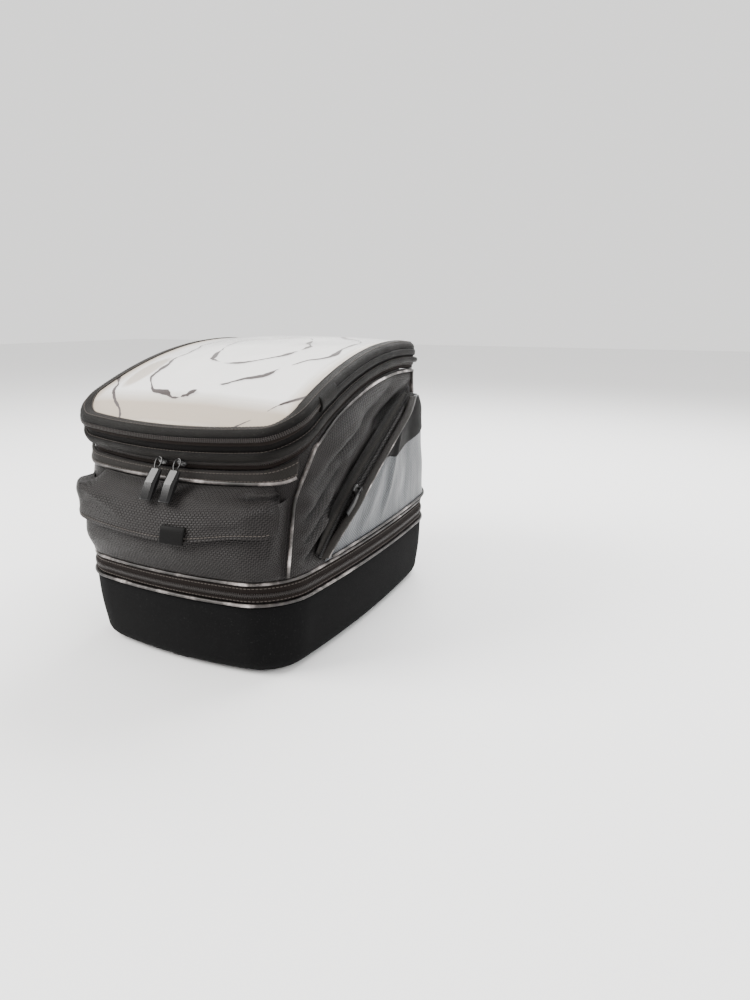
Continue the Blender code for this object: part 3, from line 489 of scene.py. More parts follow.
def fabric(name, colour, period, relief, roughness, skew=0.0, contrast=0.9, dust=0.25, gloss=0.16):
    """Woven cloth: threads, uneven dye, light wear on raised edges, painted shade in the hollows and a
    little dust.
    """
    f = Finish(name, colour, roughness, Sheen_Weight=0.03, Sheen_Roughness=0.4, Specular_IOR_Level=gloss)
    threads = f.weave(period, skew)
    mottle = f.noise(26 * MM, 3)
    slub = f.noise(period * 1.6, 2, f.uv, stretch=(0.12, 1, 1))
    shade = f.tint(threads, 1 - contrast * 0.55, 1 + contrast * 0.85)
    shade = f.blend(0.5, shade, f.ramp(mottle, (0.3, 0.62), (0.7, 1.0)), "MULTIPLY")
    pointiness = f.pointiness()
    # painted shade: the colour darkens where the surface is hollow (low pointiness), so folds and dents look
    # shaded
    shade = f.blend(1.0, shade, f.ramp(pointiness, (0.455, 0.22), (0.497, 1.0)), "MULTIPLY")
    worn = f.ramp(pointiness, (0.52, 0.0), (0.62, 1.0))
    lint = f.ramp(f.noise(3 * MM, 4), (0.60, 0.0), (0.76, dust))
    light = f.lighter(2.6, 0.012)
    f.set("Base Color", f.blend(lint, f.blend(f.times(worn, 0.3), shade, light), light))
    f.set("Roughness", f.ramp(mottle, (0.25, roughness - 0.1), (0.75, min(1, roughness + 0.1))))
    f.bump(slub, relief * 0.5, 0.5)
    f.bump(threads, relief, 0.9)


def moulded(name, colour, roughness, grain, relief, **sockets):
    """Moulded plastic, metal or foam with a fine grain and worn edges."""
    f = Finish(name, colour, roughness, **sockets)
    patches = f.noise(30 * MM, 3)
    worn = f.ramp(f.pointiness(), (0.55, 0.0), (0.68, 0.5))
    f.set("Base Color", f.blend(worn, f.tint(patches, 0.8, 1.2), f.lighter(2.2, 0.02)))
    f.set("Roughness", f.ramp(patches, (0.3, roughness * 0.85), (0.7, min(1, roughness * 1.15))))
    f.bump(f.noise(grain, 3), relief)


def make_felt():
    """The base's felt face: fuzzy, with stray fibres that catch the light."""
    f = Finish("felt", (0.0032, 0.0032, 0.0034), 0.95, Sheen_Weight=0.012, Sheen_Roughness=0.6,
               Specular_IOR_Level=0.05)
    fibres = f.ramp(f.noise(1.6 * MM, 5, roughness=0.8), (0.6, 0.0), (0.68, 0.6))
    f.set("Base Color", f.blend(fibres, f.tint(f.noise(35 * MM, 4), 0.75, 1.35), (0.03, 0.03, 0.03)))
    f.bump(f.noise(14 * MM, 3), 0.5 * MM, 0.4)
    f.bump(f.noise(1.1 * MM, 6, roughness=0.75), 0.35 * MM, 0.7)


def make_tape():
    """Zip tape: fine ribs across it, with a brownish cast."""
    f = Finish("tape", (0.0105, 0.0078, 0.0068), 0.8, Sheen_Weight=0.01, Specular_IOR_Level=0.06)
    ribs = f.wave(f.split(f.uv)[1], 0.9 * MM)
    threads = f.weave(1.0 * MM)
    uneven = f.ramp(f.noise(30 * MM), (0.3, 0.6), (0.7, 1))
    f.set("Base Color", f.blend(0.4, f.tint(f.times(ribs, threads), 0.6, 1.7), uneven, "MULTIPLY"))
    f.bump(threads, 0.16 * MM, 0.8)
    f.bump(ribs, 0.1 * MM, 0.6)


def make_reflective():
    """Reflective cord: silver face whose colour runs in patches from near black to near white, painted shade
    and painted highlights; the darker patches are duller.
    """
    f = Finish("reflective", (0.3, 0.28, 0.27), 0.34, Specular_IOR_Level=0.3)
    painted_glint_patches = f.noise(42 * MM, 5, roughness=0.65)
    # painted highlight and painted shade: long patches from near black to near white along the cord
    f.set("Base Color", f.ramp(painted_glint_patches, (0.4, (0.012, 0.011, 0.01)), (0.5, (0.045, 0.04, 0.038)),
                               (0.57, (0.2, 0.18, 0.172)), (0.66, (0.7, 0.65, 0.63))))
    f.set("Roughness", f.ramp(painted_glint_patches, (0.3, 0.55), (0.7, 0.28)))
    f.bump(f.noise(0.9 * MM, 3), 0.12 * MM, 0.6)


def make_side_fabric():
    """Silver-grey coated mesh: a fine dotted grid, with long vertical streaks of painted sheen in its
    colour, and its roughness varying with them.
    """
    f = Finish("side_mesh", (0.25, 0.27, 0.295), 0.42, Metallic=0.35, Sheen_Weight=0.1)
    u, v, _ = f.split(f.uv)
    dots = f.times(f.wave(u, 1.9 * MM), f.wave(v, 1.9 * MM))
    shade = f.ramp(dots, (0.08, (0.01, 0.012, 0.015)), (0.5, (0.066, 0.076, 0.086)),
                   (0.9, (0.2, 0.222, 0.244)))
    painted_sheen_streaks = f.noise(20 * MM, 3, stretch=(1.6, 1.6, 0.25))
    # painted sheen: long vertical streaks lighten and darken the colour
    f.set("Base Color", f.blend(0.75, shade, f.ramp(painted_sheen_streaks, (0.3, 0.45), (0.68, 1.0)), "MULTIPLY"))
    f.set("Roughness", f.ramp(painted_sheen_streaks, (0.3, 0.5), (0.7, 0.34)))
    f.bump(f.noise(9 * MM, 2, stretch=(2.5, 2.5, 0.3)), 0.6 * MM, 0.4)
    f.bump(dots, 0.18 * MM, 0.8)


WINDOW_HALF_X, WINDOW_HALF_Y, WINDOW_Y = 101 * MM, 123 * MM, -6 * MM
PATCH_X, PATCH_Y, PATCH_HALF_X, PATCH_HALF_Y = -78 * MM, -78 * MM, 12 * MM, 34 * MM
# spacing of the film's painted reflection lines, in shares of the window's half size
REFLECTION_LINE_SPACING = 0.2


def make_film():
    """Clear flexible film over a pale lining: milky and glossy, with thin dark lines of painted reflection
    running round it.
    """
    f = Finish("film", (0.97, 0.96, 0.945), 0.06, Specular_IOR_Level=0.6, Coat_Weight=0.2,
               Coat_Roughness=0.03)
    x, y, _ = f.split(f.place)

    def ellipse(middle_x, middle_y, half_x, half_y):
        """x and y as shares of an ellipse's halves, and the square of their length."""
        u = f.times(f.math("SUBTRACT", x, middle_x), 1 / half_x)
        v = f.times(f.math("SUBTRACT", y, middle_y), 1 / half_y)
        return u, v, f.times_plus(u, u, f.times(v, v))

    across, along, squared = ellipse(0.0, WINDOW_Y, WINDOW_HALF_X, WINDOW_HALF_Y)
    # painted reflection: thin dark wavy lines round the window, nearly opaque where they run
    level = f.times_plus(f.noise(75 * MM, 1.5), 0.75, f.math("SQRT", squared))
    width = f.ramp(f.noise(24 * MM, 3), (0.4, 0.0), (0.48, 0.009), (0.66, 0.028))
    painted_reflection_lines = f.math("LESS_THAN", f.math("PINGPONG", level, REFLECTION_LINE_SPACING), width)
    edge = f.math("MAXIMUM", f.ramp(f.math("ABSOLUTE", across), (0.86, 0.0), (0.97, 0.9)),
                  f.ramp(f.times(along, -1), (0.85, 0.0), (0.96, 1.0)))
    warm = f.ramp(ellipse(PATCH_X, PATCH_Y, PATCH_HALF_X, PATCH_HALF_Y)[2], (0.5, 0.75), (0.9, 0.0))
    f.set("Roughness", f.ramp(edge, (0.0, 0.06), (1.0, 0.6)))
    tinted = f.blend(f.math("MAXIMUM", edge, warm), (0.98, 0.972, 0.96), (0.5, 0.425, 0.335))
    f.set("Base Color", f.blend(painted_reflection_lines, tinted, (0.03, 0.018, 0.018)))
    f.set("Alpha", f.math("MAXIMUM", f.times(painted_reflection_lines, 0.95), 0.62))
    f.bump(f.noise(34 * MM, 2), 1.2 * MM, 0.35)


make_felt()
make_tape()
make_reflective()
make_side_fabric()
make_film()
fabric("nylon", (0.0104, 0.0092, 0.0089), 1.7 * MM, 0.42 * MM, 0.45, contrast=1.6, gloss=0.13)
fabric("binding", (0.0125, 0.0112, 0.0102), 1.0 * MM, 0.16 * MM, 0.55, skew=0.5, gloss=0.07)
# the lid flank's cloth is the binding's weave made darker: painted shade
fabric("painted_shade_flank_cloth", (0.0046, 0.0042, 0.0041), 1.0 * MM, 0.16 * MM, 0.6, skew=0.5, gloss=0.045)
fabric("webbing", (0.006, 0.006, 0.0062), 1.5 * MM, 0.35 * MM, 0.8)
fabric("gusset", (0.009, 0.009, 0.0092), 0.9 * MM, 0.1 * MM, 0.6)
fabric("lining", (0.9, 0.88, 0.84), 1.4 * MM, 0.1 * MM, 0.85, contrast=0.06, dust=0.0)
fabric("board", (0.012, 0.012, 0.0125), 2.2 * MM, 0.12 * MM, 0.9)
moulded("smooth_black", (0.0052, 0.005, 0.005), 0.6, 0.8 * MM, 0.06 * MM, Specular_IOR_Level=0.05)
moulded("teeth", (0.014, 0.0115, 0.0105), 0.32, 0.6 * MM, 0.03 * MM, Specular_IOR_Level=0.22)
moulded("dark_teeth", (0.006, 0.0056, 0.0056), 0.35, 0.6 * MM, 0.03 * MM, Specular_IOR_Level=0.15)
moulded("slider", (0.012, 0.012, 0.012), 0.28, 0.8 * MM, 0.02 * MM, Coat_Weight=0.4)
moulded("pull", (0.004, 0.004, 0.0042), 0.22, 2.5 * MM, 0.003 * MM, Specular_IOR_Level=0.2)
moulded("plastic", (0.009, 0.009, 0.0095), 0.5, 0.7 * MM, 0.05 * MM)
moulded("steel", (0.5, 0.5, 0.5), 0.32, 1.0 * MM, 0.03 * MM, Metallic=1.0)
fabric("thread", (0.042, 0.036, 0.032), 0.7 * MM, 0.05 * MM, 0.6, dust=0.0)


# ---------------------------------------------------------------- base and expansion zip

TUB_TOP_GROW = -1.2 * MM
TUB_FOOT_GROW = -5 * MM
TUB_TAPER = TUB_TOP_GROW - TUB_FOOT_GROW
TUB_BOW = 1.0 * MM
FILLET_R = 14 * MM
TUB_T = 4 * MM
TUB_LIP = 1.4 * MM
WALL_ROWS = 9
LOCK_R = 62.0 * MM  # the hole in the base for the quick release


def make_tub():
    """The moulded base: a bowed wall, a rolled rim, a round fillet and a flat bottom with a hole."""
    places = ring()
    top = LOWER.at(places, TUB_TOP_GROW)[:, 2] - CLEAR

    def level(grow, height, share=None):
        points = LOWER.at(places, grow)
        points[:, 2] = height if share is None else FILLET_R + (top - FILLET_R) * share
        return points

    def fillet(radius, turns):
        return [level(TUB_FOOT_GROW - FILLET_R + radius * math.cos(a), FILLET_R + radius * math.sin(a))
                for a in turns]

    rows = [level(TUB_FOOT_GROW - FILLET_R - 3 * MM, 0.0)]
    rows += fillet(FILLET_R, [math.pi / 2 * (i / 6 - 1) for i in range(7)])
    for i in range(1, WALL_ROWS):
        t = i / WALL_ROWS
        rows.append(level(TUB_FOOT_GROW + TUB_TAPER * t + TUB_BOW * math.sin(math.pi * t), 0, t * 0.985))
    for grow, drop in ((0.2, 1.0), (0.0, 0.35), (-0.7, 0.0), (-2.6, 0.0), (-3.4, 0.5)):
        rows.append(level(TUB_TOP_GROW + grow * MM, 0, 1.0) - UP * (drop * TUB_LIP))
    rows += [level(TUB_FOOT_GROW - TUB_T + TUB_TAPER * t, 0, t) for t in (0.6, 0.2)]
    rows += fillet(FILLET_R - TUB_T, [-math.pi / 2 * i / 3 for i in range(4)])
    turn = np.arctan2(rows[0][:, 1] - Y_MIDDLE, rows[0][:, 0])
    hole = np.stack((LOCK_R * np.cos(turn), Y_MIDDLE + LOCK_R * np.sin(turn), 0 * turn), axis=-1)
    rows += [hole + UP * TUB_T, hole]
    tub = sheet("tub_shell", rows, "felt", "base", "eva", ["base_tub"], wrap_rows=True, wrap_columns=True)
    tub.data.set_sharp_from_angle(angle=math.radians(50))


def piping(name, path, out, radius, body, node, closed=False):
    """A corded piping: a round core in a folded tape, whose flange runs back into the seam."""
    turn = np.linspace(-0.78, 0.78, 11) * math.pi + math.pi / 2
    cord = np.stack((radius * np.cos(turn), radius * np.sin(turn)), axis=-1)
    flange = np.array(((-0.45 * radius, -2.2 * radius), (0.45 * radius, -2.2 * radius)))
    mesh = sweep(name, path, out, np.concatenate((cord, flange)), closed)
    return add_piece(name, mesh, "reflective", body, [node])


def ring_out(outline, places):
    """Level directions square to an outline."""
    return unit(np.cross(outline.at(places + 0.2) - outline.at(places - 0.2), UP))


def band_path(grow, share, places, rise=0.0):
    low, high = LOWER.at(places, grow), UPPER.at(places, grow)
    return low + (high - low) * share + UP * rise


TOOTH_PITCH = 1.75 * MM
TOOTH = (0.85 * MM, 2.6 * MM, 1.9 * MM)
MAP_TOOTH = (1.15 * MM, 2.4 * MM, 1.5 * MM)
SIDE_TOOTH = (1.1 * MM, 2.2 * MM, 1.4 * MM)
TAPE_T = 1.0 * MM
# Shares of the way from a tape's sewn edge to its seam, and how far it stands off there, in millimetres:
# flat, then a ridge of cord, then down to the teeth
TAPE_PROFILE = ((0.0, 0.0), (0.35, 0.1), (0.66, 0.1), (0.74, 0.4), (0.8, 0.4), (0.86, -0.1), (0.985, -0.3))


def zip_half(prefix, half, node, edge, seam, out, body, closed=False, gap=0.3, tooth=TOOTH,
             offset=(0.55, 0.35)):
    """One half of a zip: its tape, from a sewn edge to the seam, and its teeth. gap and offset are in mm."""
    side = -1 if half == "lower" else 1
    inner = seam + UP * (side * gap * MM)
    rows = np.array([edge + (inner - edge) * share + out * (lift * MM) for share, lift in TAPE_PROFILE])
    rows = np.concatenate((rows, rows[::-1] - out * TAPE_T))
    tape = sheet(f"{prefix}_tape_{half}", rows, "tape", body, "zip_tape", [node], wrap_rows=True,
                 wrap_columns=closed)
    if side < 0:
        tape.data.flip_normals()
    name = f"{prefix}_teeth_{half}"
    teeth = beads(name, seam, out, TOOTH_PITCH, tooth, closed, phase=0.25 * side,
                  offset=(-side * offset[0] * MM, offset[1] * MM))
    add_piece(name, teeth, "teeth", body)


BAND_SEAM = 0.47  # height of the teeth between the two pipings
BAND_INSET = -1.5 * MM
BAND_CORD_R = 1.25 * MM


def make_band():
    """The expansion zip between its two reflective cords, and the folded gusset behind it."""
    places = ring(3.5 * MM)
    for name, outline, grow, body in (("lower_piping", LOWER, -0.3 * MM, "base"),
                                      ("upper_piping", UPPER, UPPER_INSET - 0.1 * MM, "upper_bag")):
        piping(name + "_cord", outline.at(places, grow), ring_out(outline, places), BAND_CORD_R, body, name,
               closed=True)
    out = ring_out(LOWER, places)
    seam = band_path(BAND_INSET, BAND_SEAM, places)
    for half, body, share, rise in (("lower", "base", 0, CLEAR), ("upper", "upper_bag", 1, -CLEAR)):
        edge = band_path(BAND_INSET, share, places, rise)
        zip_half("band", half, f"expansion_zip_{half}", edge, seam, out, body, closed=True)
        hem = edge + (seam - edge) * 0.22
        stitch_row(f"band_stitches_{half}", *(np.concatenate((line, line[:1])) for line in (hem, out)), body)
    rows = [band_path(-6.5 * MM - 1.6 * MM * abs((t * 4) % 2 - 1), t, places, -4 * MM + 10 * MM * t)
            for t in np.linspace(0, 1, 9)]
    gusset = sheet("gusset_cloth", rows, "gusset", None, "gusset_fabric", ["expansion_gusset"], 0.7 * MM,
                   wrap_columns=True)
    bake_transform(gusset)


# ---------------------------------------------------------------- upper bag

NEAR_REACH = 8.8  # the corner seams, in places from the near middle
# The side pocket's slanting edge as a cubic Bezier of (y, z), in millimetres off the outline's middle
PANEL_EDGE = ((-104, 85), (-58, 137), (21, 167), (83, 200))
SIDE_FOLDS = (
    # start and end as (y, z), width and height, all in millimetres; the last is the hollow beside the zip
    ((-132, 97), (-92, 121), 4.5, 3.0),
    ((-130, 112), (-82, 141), 5.0, 3.8),
    ((-128, 131), (-68, 165), 6.0, 4.8),
    ((-120, 152), (-42, 193), 7.5, 5.6),
    ((-100, 172), (34, 226), 8.5, 6.4),
    ((-10, 196), (84, 222), 9.0, 4.2),
    ((-80, 131), (64, 209), 9.0, -4.2),
)
SIDE_FAR = 22.0  # the side's folds end here, in places from the near middle


def corner_seam(up):
    """The corner seam's place: straight up, then turning back along the lid zip."""
    turn_from, start, end = 0.56, 8.45, 11.4
    return start + (end - start) * np.clip((up - turn_from) / (1 - turn_from), 0, 1) ** 2.1


def side_relief(points):
    """How far the side's cloth stands off its straight wall: folds that fan out from the corner seam."""
    relief = sum(ridge(points[..., 1] - Y_MIDDLE, points[..., 2], *fold) for fold in SIDE_FOLDS)
    return relief + 0.5 * MM * wrinkle(points, 26 * MM, 3.0) + 0.25 * MM * wrinkle(points, 9 * MM, 8.0)


def make_shell():
    """The upper bag's wall, with folds on its sides and soft dents elsewhere."""
    place, up = np.meshgrid(ring(3.6 * MM), np.linspace(0, 1, 42))
    flat, seam, reach = wall(place, up), corner_seam(up), np.abs(place)
    side = smooth((reach - seam) / 1.4) * smooth((SIDE_FAR - reach) / 2.5)
    front = smooth((seam - reach) / 0.6)
    back = smooth((reach - SIDE_FAR - 0.5) / 1.5)
    ends = smooth(up / 0.08) * smooth((1 - up) / 0.08)
    relief = (side * side_relief(flat) + front * 0.5 * MM * wrinkle(flat, 18 * MM, 5.0)
              + back * (1.5 * MM * wrinkle(flat, 34 * MM, 6.0) + 1.5 * MM * np.sin(math.pi * up)))
    points = wall(place, up, ends * relief - 0.8 * MM * bump(reach, seam, 0.16))
    sheet("shell_cloth", points, "nylon", "upper_bag", "nylon", ["side_shell"], 1.6 * MM, wrap_columns=True)


def wall_place(y, z):
    """The places and shares up the right-hand wall for arrays of y and z."""
    place, up, step = np.full(np.shape(y), 15.0), np.full(np.shape(y), 0.4), 0.05
    for _ in range(12):
        here = wall(place, up)
        by_place = (wall(place + step, up) - here) / step
        by_up = (wall(place, up + step) - here) / step
        dy, dz = y - here[..., 1], z - here[..., 2]
        scale = by_place[..., 1] * by_up[..., 2] - by_up[..., 1] * by_place[..., 2]
        place = place + (dy * by_up[..., 2] - dz * by_up[..., 1]) / scale
        up = up + (dz * by_place[..., 1] - dy * by_place[..., 2]) / scale
    return place, up


def edge_curve(t):
    """Place and share up the wall along the panel's slanting edge, from its foot (0) to its head (1)."""
    a, b, c, d = (MM * np.array(p) for p in PANEL_EDGE)
    t = np.asarray(t, float)[..., None]
    spot = a * (1 - t) ** 3 + b * 3 * t * (1 - t) ** 2 + c * 3 * t ** 2 * (1 - t) + d * t ** 3
    return wall_place(spot[..., 0] + Y_MIDDLE, spot[..., 1])


# The corner cord runs along the side's top to this place, then down to the pocket's head
TOP_CORD_TURN = 19.6
CORD_TOP, CORD_TOP_FAR = 0.955, 0.983  # its share up the wall at the corner and at that turn


def corner_cord_path():
    """Places and shares up the wall along the corner cord, from its near foot to the pocket's head."""
    ups = np.linspace(0.012, CORD_TOP, 50)
    places = corner_seam(ups) + 0.35
    top = np.linspace(places[-1], TOP_CORD_TURN, 50)[1:]
    top_ups = CORD_TOP + 0.028 * smooth((top - places[-1]) / 1.5)
    head_place, head_up = (float(v) for v in edge_curve(1.0))
    turn = np.linspace(0, math.pi / 2, 16)[1:]
    down = TOP_CORD_TURN + (head_place + 0.15 - TOP_CORD_TURN) * np.sin(turn)
    down_ups = head_up + 0.02 + (CORD_TOP_FAR - head_up - 0.02) * np.cos(turn)
    return np.concatenate((places, top, down)), np.concatenate((ups, top_ups, down_ups))


def header_level(place, up):
    """Shares up the wall at the header strip: its foot runs straighter than the zip above it."""
    near_foot = (0.995 - up) / 0.12
    return up + near_foot * (0.022 * bump(place, 0, 4.0) - 0.035 * smooth((place - 5.5) / 3.0))


def header_path(up, out, reach, count=90):
    places = np.linspace(-reach, reach, count)
    ups = header_level(places, np.full(count, up))
    return wall(places, ups, out), wall_normal(places, ups)


def make_header():
    """The strip under the main zip, with two rows of stitching, the cord below it and the corner cords."""
    places = np.linspace(-NEAR_REACH - 0.1, NEAR_REACH + 0.1, 120)
    rows = []
    for up, out in ((0.876, 0.5), (0.885, 2.1), (0.9, 2.5), (0.94, 2.7), (0.975, 2.5), (0.99, 2.0),
                    (0.995, 0.6)):
        level = wall(places, header_level(places, up), out * MM)
        rows.append(level + UP * (0.35 * MM * wrinkle(level, 30 * MM, 2.0))[:, None])
    sheet("header_strip", rows, "binding", "upper_bag", "binding", ["header_band"], 0.9 * MM)
    for i, up in enumerate((0.893, 0.968)):
        stitch_row(f"header_stitches_{i + 1}", *header_path(up, 2.6 * MM, NEAR_REACH - 0.1), "upper_bag")
    path, out = header_path(0.872, 2.0 * MM, NEAR_REACH)
    piping("header_cord", path, out, 1.35 * MM, "upper_bag", "header_piping")
    places, ups = corner_cord_path()
    for side, sign in SIGNS.items():
        path, out = wall(sign * places, ups, 1.9 * MM), wall_normal(sign * places, ups)
        piping(f"corner_cord_{side}", path, out, 1.25 * MM, "upper_bag", f"corner_piping_{side}")


LID_ZIP_REACH = 24.0  # the main zip ends here, in places from the near middle
HINGE_REACH = 4.4  # half the lid's hinge, in places from the far middle


def make_lid_zip():
    """The main zip, all round except at the far end, and the hinge of cloth there."""
    places = steps(-LID_ZIP_REACH, LID_ZIP_REACH, 3.5 * MM, LID)
    out, seam = ring_out(LID, places), LID.at(places, 0)
    for half, body, rise in (("lower", "upper_bag", SHELL_TOP + 0.6 * MM), ("upper", "lid", 5.0 * MM)):
        zip_half("main", half, f"lid_zip_{half}", LID.at(places, 0, rise), seam, out, body)
    places = steps(FAR_MIDDLE - HINGE_REACH, FAR_MIDDLE + HINGE_REACH, 3.5 * MM, LID)
    rows = [LID.at(places, -0.4 * MM + 1.3 * MM * math.sin(math.pi * t),
                   SHELL_TOP - 1.0 * MM + 13.5 * MM * t)
            for t in np.linspace(0, 1, 9)]
    hinge = sheet("lid_hinge_cloth", rows, "nylon", None, "nylon", (), 1.2 * MM)
    height = LID.at(FAR_MIDDLE)[2]
    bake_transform(hinge)


# ---------------------------------------------------------------- front pocket

POCKET_REACH = 8.2
POCKET_TOP = 0.68
POCKET_DEPTH = 14 * MM


def make_pouch():
    """The bellows pouch, blown out by simulation and held at its side and bottom seams."""
    place, up = np.meshgrid(np.linspace(-POCKET_REACH, POCKET_REACH, 90), np.linspace(0.012, POCKET_TOP, 30))
    side_edge = (POCKET_REACH - np.abs(place)) / np.where(place < 0, 3.2, 1.5)
    ends = smooth(side_edge) ** 0.6
    foot = smooth(up / 0.24) ** 0.7
    seam = 1.0 * MM
    depth = seam + (POCKET_DEPTH * 0.86 - seam) * ends * foot
    pleat = 1.6 * MM * bump(np.abs(place), 6.9, 0.25) * smooth((up - 0.1) / 0.2)
    points = wall(place, up, depth - pleat)
    dents = 0.5 * MM * wrinkle(points, 20 * MM, 1.0) * ends * foot
    points = points + wall_normal(place, up) * dents[..., None]
    pouch = sheet("pouch_cloth", points, "nylon", "upper_bag", "nylon", ["front_pocket"])
    hold = np.maximum((side_edge < 0.35) * 1.0, (up < 0.03) * 1.0)
    settle(pouch, np.maximum(hold, 0.5 * smooth((up - 0.5) / 0.15)), pressure=2.2, cap=3.5 * MM)
    thicken(pouch, 1.2 * MM)


FLAP_TOP, FLAP_END = 0.855, 0.33
FLAP_LEFT, FLAP_RIGHT = -7.75, 7.4
EAR_FROM = -6.6  # left of this place the flap runs straight on, past the bag's corner
EAR_STEP = 7.6 * MM  # length of the ear per place
EAR_BEND = 0.04 / MM


def flap_point(place, up, out, free):
    """On the wall, except that the left end carries straight on as an ear instead of turning the corner.

    free is 1 where it does so and 0 where the ear's own top and end are sewn back to the wall.
    """
    held = np.maximum(place, EAR_FROM)
    along = unit(wall(held + 0.15, up, out) - wall(held - 0.15, up, out))
    beyond = (held - place) * EAR_STEP
    bend = np.array((0.0, 1.0, 0.0)) * EAR_BEND * beyond[..., None] ** 2
    ear = wall(held, up, out) - along * beyond[..., None] + bend
    sewn = wall(place, up, np.minimum(out, 1.2 * MM))
    return sewn + (ear - sewn) * np.asarray(free)[..., None]


def ridge_line(place, up, start, end, width):
    """A fold across the flap between two (place, up) points, from 0 to 1 high."""
    run, rise = end[0] - start[0], end[1] - start[1]
    along = ((place - start[0]) * run) / run ** 2
    across = (up - start[1] - rise * along) / width
    return np.exp(-across ** 2) * smooth((along + 0.1) / 0.4) * smooth((1.1 - along) / 0.4)


def make_flap():
    """The pocket's flap: one sheet from the seam under the header to its free edge, puffed by simulation."""
    count, levels = 110, 46
    u, v = np.meshgrid(np.linspace(0, 1, count), np.linspace(0, 1, levels))
    place = FLAP_LEFT + (FLAP_RIGHT - FLAP_LEFT) * u
    right_round = 0.075 * smooth((place - 1.0) / 5.0) + 0.09 * np.clip((place - 6.3) / 1.3, 0, 1) ** 2.4
    low = FLAP_END + 0.085 * smooth((-4.0 - place) / 3.5) + right_round + 0.012 * np.sin(9 * u)
    high = FLAP_TOP - 0.125 * smooth((-4.4 - place) / 1.1)
    high = high - 0.10 * smooth((place - 6.4) / 1.0)
    up = high + (low - high) * v
    depth = POCKET_DEPTH + 3.4 * MM
    slope = 0.23 - 0.185 * smooth((-4.4 - place) / 1.1)
    rise_out = smooth((high - up) / slope) ** 0.75
    out = 1.6 * MM + (depth - 1.6 * MM) * rise_out
    out = out + 3.2 * MM * bump(up, 0.63, 0.09) * smooth((-3.2 - place) / 2.5)
    out = out * (1 - 0.3 * smooth((-5.2 - place) / 2.2))
    shoulder = ridge_line(place, up, (4.6, 0.80), (8.0, 0.775), 0.022) * 2.0 * MM
    dent = ridge_line(place, up, (4.4, 0.752), (7.9, 0.728), 0.02) * -2.6 * MM
    sweep_fold = ridge_line(place, up, (-5.6, 0.72), (-1.6, 0.44), 0.045) * 1.6 * MM
    sweep_fold += ridge_line(place, up, (2.6, 0.5), (6.4, 0.62), 0.05) * 1.5 * MM
    at_ear = smooth((EAR_FROM - place) / 0.3)
    free = 1 - at_ear * (1 - smooth(v / 0.10) * smooth((place - FLAP_LEFT) / 0.45))
    points = flap_point(place, up, out + shoulder + dent + sweep_fold, free)
    dents = 0.7 * MM * wrinkle(points, 22 * MM, 4.0) * rise_out
    points = points + np.array((0, -1.0, 0)) * dents[..., None]
    flap = sheet("flap_cloth", points[::-1], "nylon", None, "nylon", ["flap_top", "pocket_flap"])
    hold = np.maximum((v < 0.03) * 1.0, 0.45 * smooth((v - 0.86) / 0.1))
    hold = np.maximum(hold, 0.7 * smooth((place - 7.2) / 0.4))
    settle(flap, hold[::-1], pressure=1.6, cap=2.6 * MM)
    rows = np.array([v.co for v in flap.data.vertices]).reshape(levels, count, 3)
    thicken(flap, 1.5 * MM, 0.35 * MM)
    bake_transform(flap)
    hem = rows[3, 4:-4]
    stitch_row("flap_hem_stitches", hem, unit(np.cross(np.gradient(hem, axis=0), rows[5, 4:-4] - hem)),
               "pocket_flap")


def make_tab():
    """The flap's smooth pull tab, a folded strap sewn under the flap's edge."""
    places = np.linspace(0.73, 2.17, 14)
    rows = [wall(places, up, out * MM) for up, out in
            ((0.30, 19.2), (0.315, 20.2), (0.36, 20.4), (0.42, 20.1), (0.455, 19.6), (0.475, 18.4))]
    sheet("flap_tab_strap", rows, "smooth_black", "pocket_flap", "smooth_black", ["flap_tab"],
          1.5 * MM, 0.4 * MM)


# ---------------------------------------------------------------- side pockets

SIGNS = {"right": 1, "left": -1}
PANEL_FAR = 21.5  # the panel's far seam, in places from the near middle


def mirror(points, side):
    return points * np.array((SIGNS[side], 1, 1))


def turned(mesh, side):
    """The left side is the right side's mirror, so its faces are turned back."""
    if side == "left":
        mesh.flip_normals()
    return mesh


def sewn(piece, side):
    """Bakes the piece's placement into its mesh."""
    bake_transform(piece)


def side_sheet(name, points, side, material, nodes=(), thickness=1.2 * MM):
    mesh = turned(grid_mesh(name, mirror(points, side)), side)
    sewn(thicken(add_piece(name, mesh, material, None, nodes), thickness), side)


def side_sweep(name, path, out, profile, side):
    return turned(sweep(name, mirror(path, side), mirror(out, side), profile), side)


def panel_point(across, t, out=0.0):
    """On the side pocket's puffed panel: across from its slanting edge (0) to its far seam (1)."""
    start, up = edge_curve(t)
    rise = smooth(np.asarray(t) / 0.3) ** 0.8
    puff = 7.5 * MM * rise * (1 - across) ** 0.7 * smooth((1.12 - t) / 0.3)
    return wall(start + (PANEL_FAR - start) * across, up, 2.2 * MM + puff + out)


def panel_relief(across, t, side):
    """Soft folds of the side pocket's panel: a sharp fold down its middle and shallow hollows."""
    points = panel_point(across, t)
    y, z = points[..., 1] - Y_MIDDLE, points[..., 2]
    relief = 1.8 * MM * bump(y - (z - 120 * MM) * 0.45, 2 * MM, 5.0 * MM)
    relief += 1.2 * MM * bump(y - (z - 100 * MM) * 0.7, -44 * MM, 8.0 * MM)
    relief -= 1.3 * MM * bump(y - (z - 120 * MM) * 0.2, 44 * MM, 13.0 * MM)
    relief += 0.6 * MM * wrinkle(points, 19 * MM, 7.0 + SIGNS[side])
    fade = smooth(across / 0.12) * smooth((1 - across) / 0.15) * smooth(t / 0.15) * smooth((1 - t) / 0.1)
    return relief * fade


